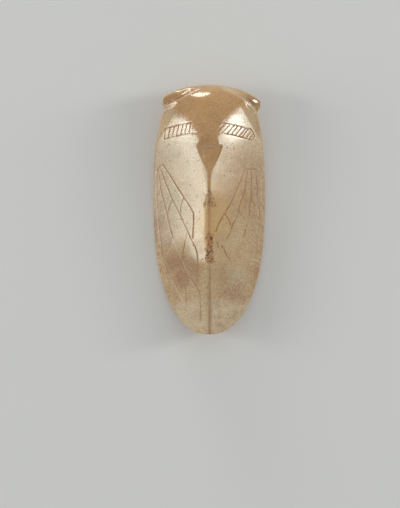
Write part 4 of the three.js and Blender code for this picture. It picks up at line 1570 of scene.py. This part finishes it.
# %% Laying the nodes out
COLUMN_WIDTH = 220.0
ROW_HEIGHT = 190.0


def lay_out(tree, output):
    """Puts every node in a column by the most links that lie between it and the output."""
    columns = {output.name: 0}
    waiting = [output]
    while waiting:
        node = waiting.pop(0)
        sources = [link.from_node for socket in node.inputs for link in socket.links]
        for source in sources:
            if columns.get(source.name, 0) <= columns[node.name]:
                columns[source.name] = columns[node.name] + 1
                waiting.append(source)
    rows = dict.fromkeys(columns.values(), 0)
    for name, column in columns.items():
        tree.nodes[name].location = (-COLUMN_WIDTH * column, -ROW_HEIGHT * rows[column])
        rows[column] += 1
    return len(rows)


print(f"node helpers: columns {COLUMN_WIDTH:.0f} wide for the finished tree")

# %% Colours of the jade
CLEAR_AND_SHADED_TAN = (0.61, 0.335, 0.125, 1.0)
BROWNER_TAN = (0.53, 0.265, 0.105, 1.0)
CLOUDED = (0.545, 0.352, 0.174, 1.0)
PALE_CLOUD = (0.645, 0.478, 0.265, 1.0)
PAINTED_HONEY_GLOW = (0.72, 0.43, 0.155, 1.0)
GREY_CLOUD = (0.48, 0.395, 0.265, 1.0)
WARM_EDGE = (0.62, 0.38, 0.175, 1.0)
ORANGE = (0.5, 0.25, 0.085, 1.0)
RUSSET = (0.36, 0.17, 0.075, 1.0)
LINE_BROWN = (0.38, 0.15, 0.06, 1.0)
PINPRICK = (0.26, 0.11, 0.055, 1.0)
BROWN_SKIN_AND_SHADE = (0.34, 0.18, 0.085, 1.0)
ROUGH_BROWN = (0.5, 0.31, 0.17, 1.0)
FLECK_BROWN = (0.32, 0.17, 0.085, 1.0)
RED_DOT = (0.36, 0.13, 0.06, 1.0)
WHITISH_AND_HIGHLIGHT = (0.76, 0.66, 0.48, 1.0)
BLACK_SPECK = (0.05, 0.03, 0.02, 1.0)
ORANGE_SPECK = (0.5, 0.19, 0.05, 1.0)
print(f"colours: clear stone {CLEAR_AND_SHADED_TAN[:3]}, clouded stone {CLOUDED[:3]}")

# %% [markdown]
# Under everything lies the stone itself. Noise some millimetres across and grain of some tenths
# turn the clouded skin paler in places, grey clouds and honey with its painted glow go over it by
# their zones, and where the stone is clear, tan with browner streaks shows instead, which is also
# painted shade on the crown.

# %% Clouds, and clear stone with painted shade
MM_PER_METRE = 1000.0
CLOUDS = {"scale": 260.0, "detail": 4.0, "from": (0.38, 0.66), "cover": (0.0, 0.5)}
STREAKS = {"scale": 420.0, "detail": 3.0, "from": (0.42, 0.7), "cover": (0.0, 0.8)}
GRAIN = {"scale": 2300.0, "detail": 2.0, "from": (0.38, 0.66), "cover": (0.0, 0.5)}
CLEAR_GRAIN = {"from": (0.4, 0.7), "cover": (0.0, 0.3)}


def clouded_stone(tree, place, grain):
    """Tan with painted shade where clear, elsewhere clouded by noise some millimetres and some
    tenths across.
    """
    cloud = remap(tree, noise(tree, place, CLOUDS), CLOUDS["from"], CLOUDS["cover"])
    mottle = remap(tree, grain, GRAIN["from"], GRAIN["cover"])
    skin = blend(tree, calculate(tree, "ADD", cloud, mottle), CLOUDED, PALE_CLOUD)
    skin = blend(tree, value_of(tree, "grey_cloud"), skin, GREY_CLOUD)
    # Honey, also a painted glow beside the ridge.
    skin = blend(tree, value_of(tree, "honey_and_painted_glow"), skin, PAINTED_HONEY_GLOW)
    streaks = remap(tree, noise(tree, place, STREAKS), STREAKS["from"], STREAKS["cover"])
    inside = blend(tree, streaks, CLEAR_AND_SHADED_TAN, BROWNER_TAN)
    pale_grain = remap(tree, grain, CLEAR_GRAIN["from"], CLEAR_GRAIN["cover"])
    inside = blend(tree, pale_grain, inside, PALE_CLOUD)
    return blend(tree, value_of(tree, "clear_and_shaded_stone"), skin, inside)


cloud_size = MM_PER_METRE / CLOUDS["scale"]
grain_size = MM_PER_METRE / GRAIN["scale"]
print(f"clouds: about {cloud_size:.1f} mm across, their grain {grain_size:.2f} mm")

# %% [markdown]
# Next come the warm edge, the orange stretch of it, the russet stains and the flecks. One oval
# among the stains is painted shade on the left flank. One noise makes both kinds of fleck, pale
# where it is high and brown where it is low, and the same noise breaks up the stains. On a stain
# there are fewer pale flecks.

# %% Edge, stains and flecks
WARM = {"from": (0.35, 1.0), "cover": (0.0, 0.5)}
FLECKS = {"scale": 4300.0, "detail": 1.0}
PALE_FLECKS = {"from": (0.5, 0.67), "cover": (0.0, 0.62)}
BROWN_FLECKS = {"from": (0.5, 0.33), "cover": (0.0, 0.66)}
STAIN_GRAIN = {"from": (0.38, 0.6), "cover": (1.0, 0.8)}
PALE_FLECKS_LOST_ON_STAIN = 0.6


def stained_stone(tree, place, body):
    """Warm and orange edge, russet stains with one oval of painted shade, and pale and brown flecks
    over them.
    """
    edge = remap(tree, value_of(tree, "thin_edge"), WARM["from"], WARM["cover"])
    body = blend(tree, edge, body, WARM_EDGE)
    body = blend(tree, value_of(tree, "orange_edge"), body, ORANGE)
    fleck = noise(tree, place, FLECKS)
    grainy = value_of(tree, "grainy")
    stained_grain = remap(tree, fleck, STAIN_GRAIN["from"], STAIN_GRAIN["cover"])
    stain = calculate(tree, "MULTIPLY", value_of(tree, "stain"), stained_grain)
    # The stains carry one oval of painted shade on the left flank.
    body = blend(tree, stain, body, RUSSET)
    lost = calculate(tree, "MULTIPLY", stain, PALE_FLECKS_LOST_ON_STAIN)
    pale_fleck = remap(tree, fleck, PALE_FLECKS["from"], PALE_FLECKS["cover"])
    pale_fleck = calculate(tree, "MULTIPLY", pale_fleck, grainy)
    pale_fleck = calculate(tree, "MULTIPLY", pale_fleck, calculate(tree, "SUBTRACT", 1.0, lost))
    body = blend(tree, pale_fleck, body, WHITISH_AND_HIGHLIGHT)
    brown_fleck = remap(tree, fleck, BROWN_FLECKS["from"], BROWN_FLECKS["cover"])
    return blend(tree, calculate(tree, "MULTIPLY", brown_fleck, grainy), body, FLECK_BROWN)


print(f"flecks: about {MM_PER_METRE / FLECKS['scale']:.2f} mm across")

# %% [markdown]
# Then the marks: browner and paler skin with the painted shade and highlights, dirt in the cuts,
# pinpricks all over, red dots in their zones, and the rough places, whose stone is brown with
# black and orange specks. Voronoi cells give each speck a place, and the cell's random colour
# decides whether it is there.

# %% Dirt, dots and rough places
DIRT_FROM = (0.6, 0.88)
PINPRICKS = {"scale": 900.0, "rim": (0.17, 0.08), "cover": (0.0, 0.8), "present": (0.35, 0.6)}
DOTS = {"scale": 1700.0, "rim": (0.36, 0.14), "cover": (0.0, 0.9), "present": (0.38, 0.55)}
ROUGH_SPECKS = {"scale": 2300.0, "rim": (0.68, 0.38), "cover": (0.0, 0.9), "orange": (0.42, 0.54)}
ROUGH_STAIN = 0.7


def marked_stone(tree, place, body):
    """Brown and pale skin with painted shade and highlights, dirt in the cuts, pinpricks and red
    dots, and how marked it is.
    """
    # Browner skin and painted shade.
    body = blend(tree, value_of(tree, "brown_skin_and_painted_shade"), body, BROWN_SKIN_AND_SHADE)
    # Paler skin and painted highlights.
    body = blend(tree, value_of(tree, "pale_skin_and_painted_highlights"), body, WHITISH_AND_HIGHLIGHT)
    near = remap(tree, value_of(tree, "line_near"), DIRT_FROM, NOTHING_TO_ALL)
    dirt = calculate(tree, "MULTIPLY", near, value_of(tree, "line_dirt"))
    body = blend(tree, dirt, body, LINE_BROWN)
    prick = scattered(tree, place, PINPRICKS)
    body = blend(tree, prick, body, PINPRICK)
    dot = scattered(tree, place, DOTS, value_of(tree, "red_dots"))
    body = blend(tree, dot, body, RED_DOT)
    return body, prick, calculate(tree, "MAXIMUM", dirt, prick)


def rough_stone(tree, place, body, marks):
    """The rough places: brown stone with black and orange specks, and how marked it is now."""
    rough = value_of(tree, "rough_place")
    stain = calculate(tree, "MULTIPLY", rough, ROUGH_STAIN)
    body = blend(tree, stain, body, ROUGH_BROWN)
    distance, colour = cells(tree, place, ROUGH_SPECKS["scale"])
    speck = remap(tree, distance, ROUGH_SPECKS["rim"], ROUGH_SPECKS["cover"])
    speck = calculate(tree, "MULTIPLY", speck, rough)
    orange_share = remap(tree, colour, ROUGH_SPECKS["orange"], NOTHING_TO_ALL)
    body = blend(tree, speck, body, blend(tree, orange_share, BLACK_SPECK, ORANGE_SPECK))
    return body, calculate(tree, "MAXIMUM", marks, stain)


prick_cell = MM_PER_METRE / PINPRICKS["scale"]
dot_cell = MM_PER_METRE / DOTS["scale"]
print(f"specks: pinpricks in cells of {prick_cell:.1f} mm, red dots in cells of {dot_cell:.1f} mm")

# %% [markdown]
# Polish is roughness. Marks and wear raise it, the best polish lowers it, and where the stone
# isn't polished best, the grain makes it uneven. The coat thins where the skin is marked or dull.
# Three bumps, one on the next, give the grain, the pinpricks and the finest skin, all far too
# small to be form.

# %% Polish and fine skin
ROUGHNESS = (0.24, 0.7)
WORN_ROUGHER = 0.36
BEST_SMOOTHER = -0.1
GRAIN_ROUGHER = 0.12
COAT_UNTIL = (0.0, 0.9)
COAT = (0.5, 0.0)
LEAST_GRAIN = 0.25
FINE_SKIN = {"scale": 5200.0, "detail": 2.0}
GRAIN_BUMP = {"Strength": 0.3, "Distance": 0.00006}
PRICK_BUMP = {"Strength": 0.5, "Distance": 0.00008}
FINE_BUMP = {"Strength": 0.2, "Distance": 0.00002}


def polish(tree, grain, marks, unpolished):
    """Roughness and coat of the skin."""
    dull = value_of(tree, "dull")
    worn = calculate(tree, "MULTIPLY", dull, WORN_ROUGHER)
    smoother = calculate(tree, "MULTIPLY", value_of(tree, "polish"), BEST_SMOOTHER)
    uneven = calculate(tree, "MULTIPLY", grain, GRAIN_ROUGHER)
    uneven = calculate(tree, "MULTIPLY", uneven, unpolished)
    roughness = remap(tree, marks, NOTHING_TO_ALL, ROUGHNESS)
    for part in (worn, smoother, uneven):
        roughness = calculate(tree, "ADD", roughness, part)
    coat = remap(tree, calculate(tree, "ADD", marks, dull), COAT_UNTIL, COAT)
    return roughness, coat


def fine_relief(tree, place, grain, prick, unpolished):
    """Normals with three bumps on each other: the grain, the pinpricks and the finest skin."""
    least = calculate(tree, "MAXIMUM", unpolished, LEAST_GRAIN)
    height = calculate(tree, "MULTIPLY", grain, least)
    bump = add_node(tree, "ShaderNodeBump", "grain", Height=height, **GRAIN_BUMP)
    height = calculate(tree, "MULTIPLY", prick, -1.0)
    bump = add_node(tree, "ShaderNodeBump", "pinpricks", Height=height, Normal=bump.outputs[0],
                    **PRICK_BUMP)
    height = noise(tree, place, FINE_SKIN)
    bump = add_node(tree, "ShaderNodeBump", "finest skin", Height=height, Normal=bump.outputs[0],
                    **FINE_BUMP)
    return bump.outputs[0]


smoothest = ROUGHNESS[0] + BEST_SMOOTHER
print(f"roughness: {smoothest:.2f} on the best polish, {ROUGHNESS[1]} in dirt")

# %% [markdown]
# Last, the layers are put together in one Principled shader. What is the same all over the stone,
# such as how far light goes in, is set on the shader itself. Red light goes furthest, which gives
# the thin edges their warmth.

# %% The jade material
JADE = {
    "IOR": 1.6,
    "Subsurface_Weight": 0.3,
    "Subsurface_Radius": (1.0, 0.62, 0.35),
    "Subsurface_Scale": 0.0014,
    "Coat_Roughness": 0.14,
}


def jade_material():
    """The stone with its edge, stains, flecks, marks and rough places, and its polish."""
    material = bpy.data.materials.new("polished_jade")
    material.use_nodes = True
    tree = material.node_tree
    tree.nodes.clear()
    place = tree.nodes.new("ShaderNodeTexCoord").outputs["Object"]
    grain = noise(tree, place, GRAIN)
    unpolished = calculate(tree, "SUBTRACT", 1.0, value_of(tree, "polish"))
    body = stained_stone(tree, place, clouded_stone(tree, place, grain))
    body, prick, marks = marked_stone(tree, place, body)
    body, marks = rough_stone(tree, place, body, marks)
    roughness, coat = polish(tree, grain, marks, unpolished)
    relief = fine_relief(tree, place, grain, prick, unpolished)
    shader = add_node(tree, "ShaderNodeBsdfPrincipled", "jade", Base_Color=body,
                      Roughness=roughness, Coat_Weight=coat, Normal=relief, **JADE)
    output = tree.nodes.new("ShaderNodeOutputMaterial")
    tree.links.new(shader.outputs[0], output.inputs[0])
    print(f"jade: {len(tree.nodes)} nodes in {lay_out(tree, output)} columns")
    return material


mesh.materials.append(jade_material())
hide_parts("cicada")
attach(cicada, "root")

# %% [markdown]
# ## Floor
# The stone lies on a plain pale floor, matt so that it mirrors no lamp. A paper sweep that curves
# up behind would do as well, but the camera looks down and sees only what lies flat.

# %% Floor
FLOOR_HALF = 0.6
FLOOR_COLOUR = (0.86, 0.86, 0.86, 1.0)
FLOOR_ROUGHNESS = 0.85


def make_floor():
    """One pale square under the stone."""
    floor_mesh = bpy.data.meshes.new("floor")
    corners = [(-FLOOR_HALF, -FLOOR_HALF, 0.0), (FLOOR_HALF, -FLOOR_HALF, 0.0),
               (FLOOR_HALF, FLOOR_HALF, 0.0), (-FLOOR_HALF, FLOOR_HALF, 0.0)]
    floor_mesh.from_pydata(corners, [], [(0, 1, 2, 3)])
    floor = bpy.data.objects.new("floor", floor_mesh)
    bpy.context.scene.collection.objects.link(floor)
    material = bpy.data.materials.new("pale_floor")
    material.use_nodes = True
    shader = material.node_tree.nodes["Principled BSDF"]
    shader.inputs["Base Color"].default_value = FLOOR_COLOUR
    shader.inputs["Roughness"].default_value = FLOOR_ROUGHNESS
    floor_mesh.materials.append(material)
    print(f"floor: a pale square, {2 * FLOOR_HALF} m wide")


make_floor()

# %% [markdown]
# ## Lamps
# A polished stone shows a lamp where its skin mirrors the lamp to the camera, so the bright patches
# tell where the lamps stood: low at the left and at the right. One large lamp on each side would
# light a whole slope evenly, but the photo's patches have soft and firm edges. So on each side
# several ovals of different strength overlap, wide weak ones for the glow and small strong ones
# for the shoulders. One more past the head gives its front a glint. The flat crown between mirrors
# only the dim room and stays tan. Each row gives the angles from straight up towards the right and
# towards the head, the angles that the lamp fills along and up, and its radiance.

# %% Lamps
LAMP_DISTANCE = 0.75
LAMP_WHITE = (0.98, 1.0, 0.91)
LAMPS = {
    "left_wide": (-72.0, -3.0, 30.0, 31.0, 1.65),
    "left_middle": (-67.0, -2.0, 28.0, 20.0, 1.4),
    "left_core": (-64.5, 3.5, 13.0, 9.0, 4.9),
    "left_inner": (-58.0, -0.2, 7.4, 4.2, 11.0),
    "left_shoulder": (-74.0, 8.5, 9.0, 23.0, 3.9),
    "right_wide": (61.0, -1.0, 20.0, 16.0, 1.35),
    "right_inner": (56.0, 4.5, 16.0, 10.0, 5.1),
    "right_core": (67.5, 8.5, 13.0, 15.0, 11.5),
    "right_outer": (79.0, 10.0, 10.5, 16.0, 4.0),
    "head_glint": (-74.0, 74.0, 30.0, 20.0, 9.0),
}


def make_lamp(name, sideways, headways, wide, high, radiance):
    """An oval soft lamp, turned to the stone. Its power is pi times its area times its radiance."""
    side = math.radians(sideways)
    head = math.radians(headways)
    level = math.cos(head)
    away = np.array([math.sin(side) * level, math.sin(head), math.cos(side) * level])
    data = bpy.data.lights.new(name, "AREA")
    data.shape = "ELLIPSE"
    data.size = 2.0 * LAMP_DISTANCE * math.tan(math.radians(wide / 2.0))
    data.size_y = 2.0 * LAMP_DISTANCE * math.tan(math.radians(high / 2.0))
    data.energy = math.pi * (math.pi / 4.0) * data.size * data.size_y * radiance
    data.color = LAMP_WHITE
    lamp = bpy.data.objects.new(name, data)
    bpy.context.scene.collection.objects.link(lamp)
    lamp.location = away * LAMP_DISTANCE
    lamp.rotation_euler = (math.acos(away[2]), 0.0, math.atan2(away[0], -away[1]))
    print(f"lamp {name}: {data.energy:.2f} W")


for lamp_name, lamp_values in LAMPS.items():
    make_lamp(lamp_name, *lamp_values)

# %% The room
ROOM_COLOUR = (0.98, 0.99, 1.0, 1.0)
ROOM_STRENGTH = 0.39

world = bpy.data.worlds.new("room")
world.use_nodes = True
world.node_tree.nodes["Background"].inputs["Color"].default_value = ROOM_COLOUR
world.node_tree.nodes["Background"].inputs["Strength"].default_value = ROOM_STRENGTH
bpy.context.scene.world = world
bpy.context.scene.view_settings.view_transform = "Standard"
print(f"room: dim light of strength {ROOM_STRENGTH} from all round")
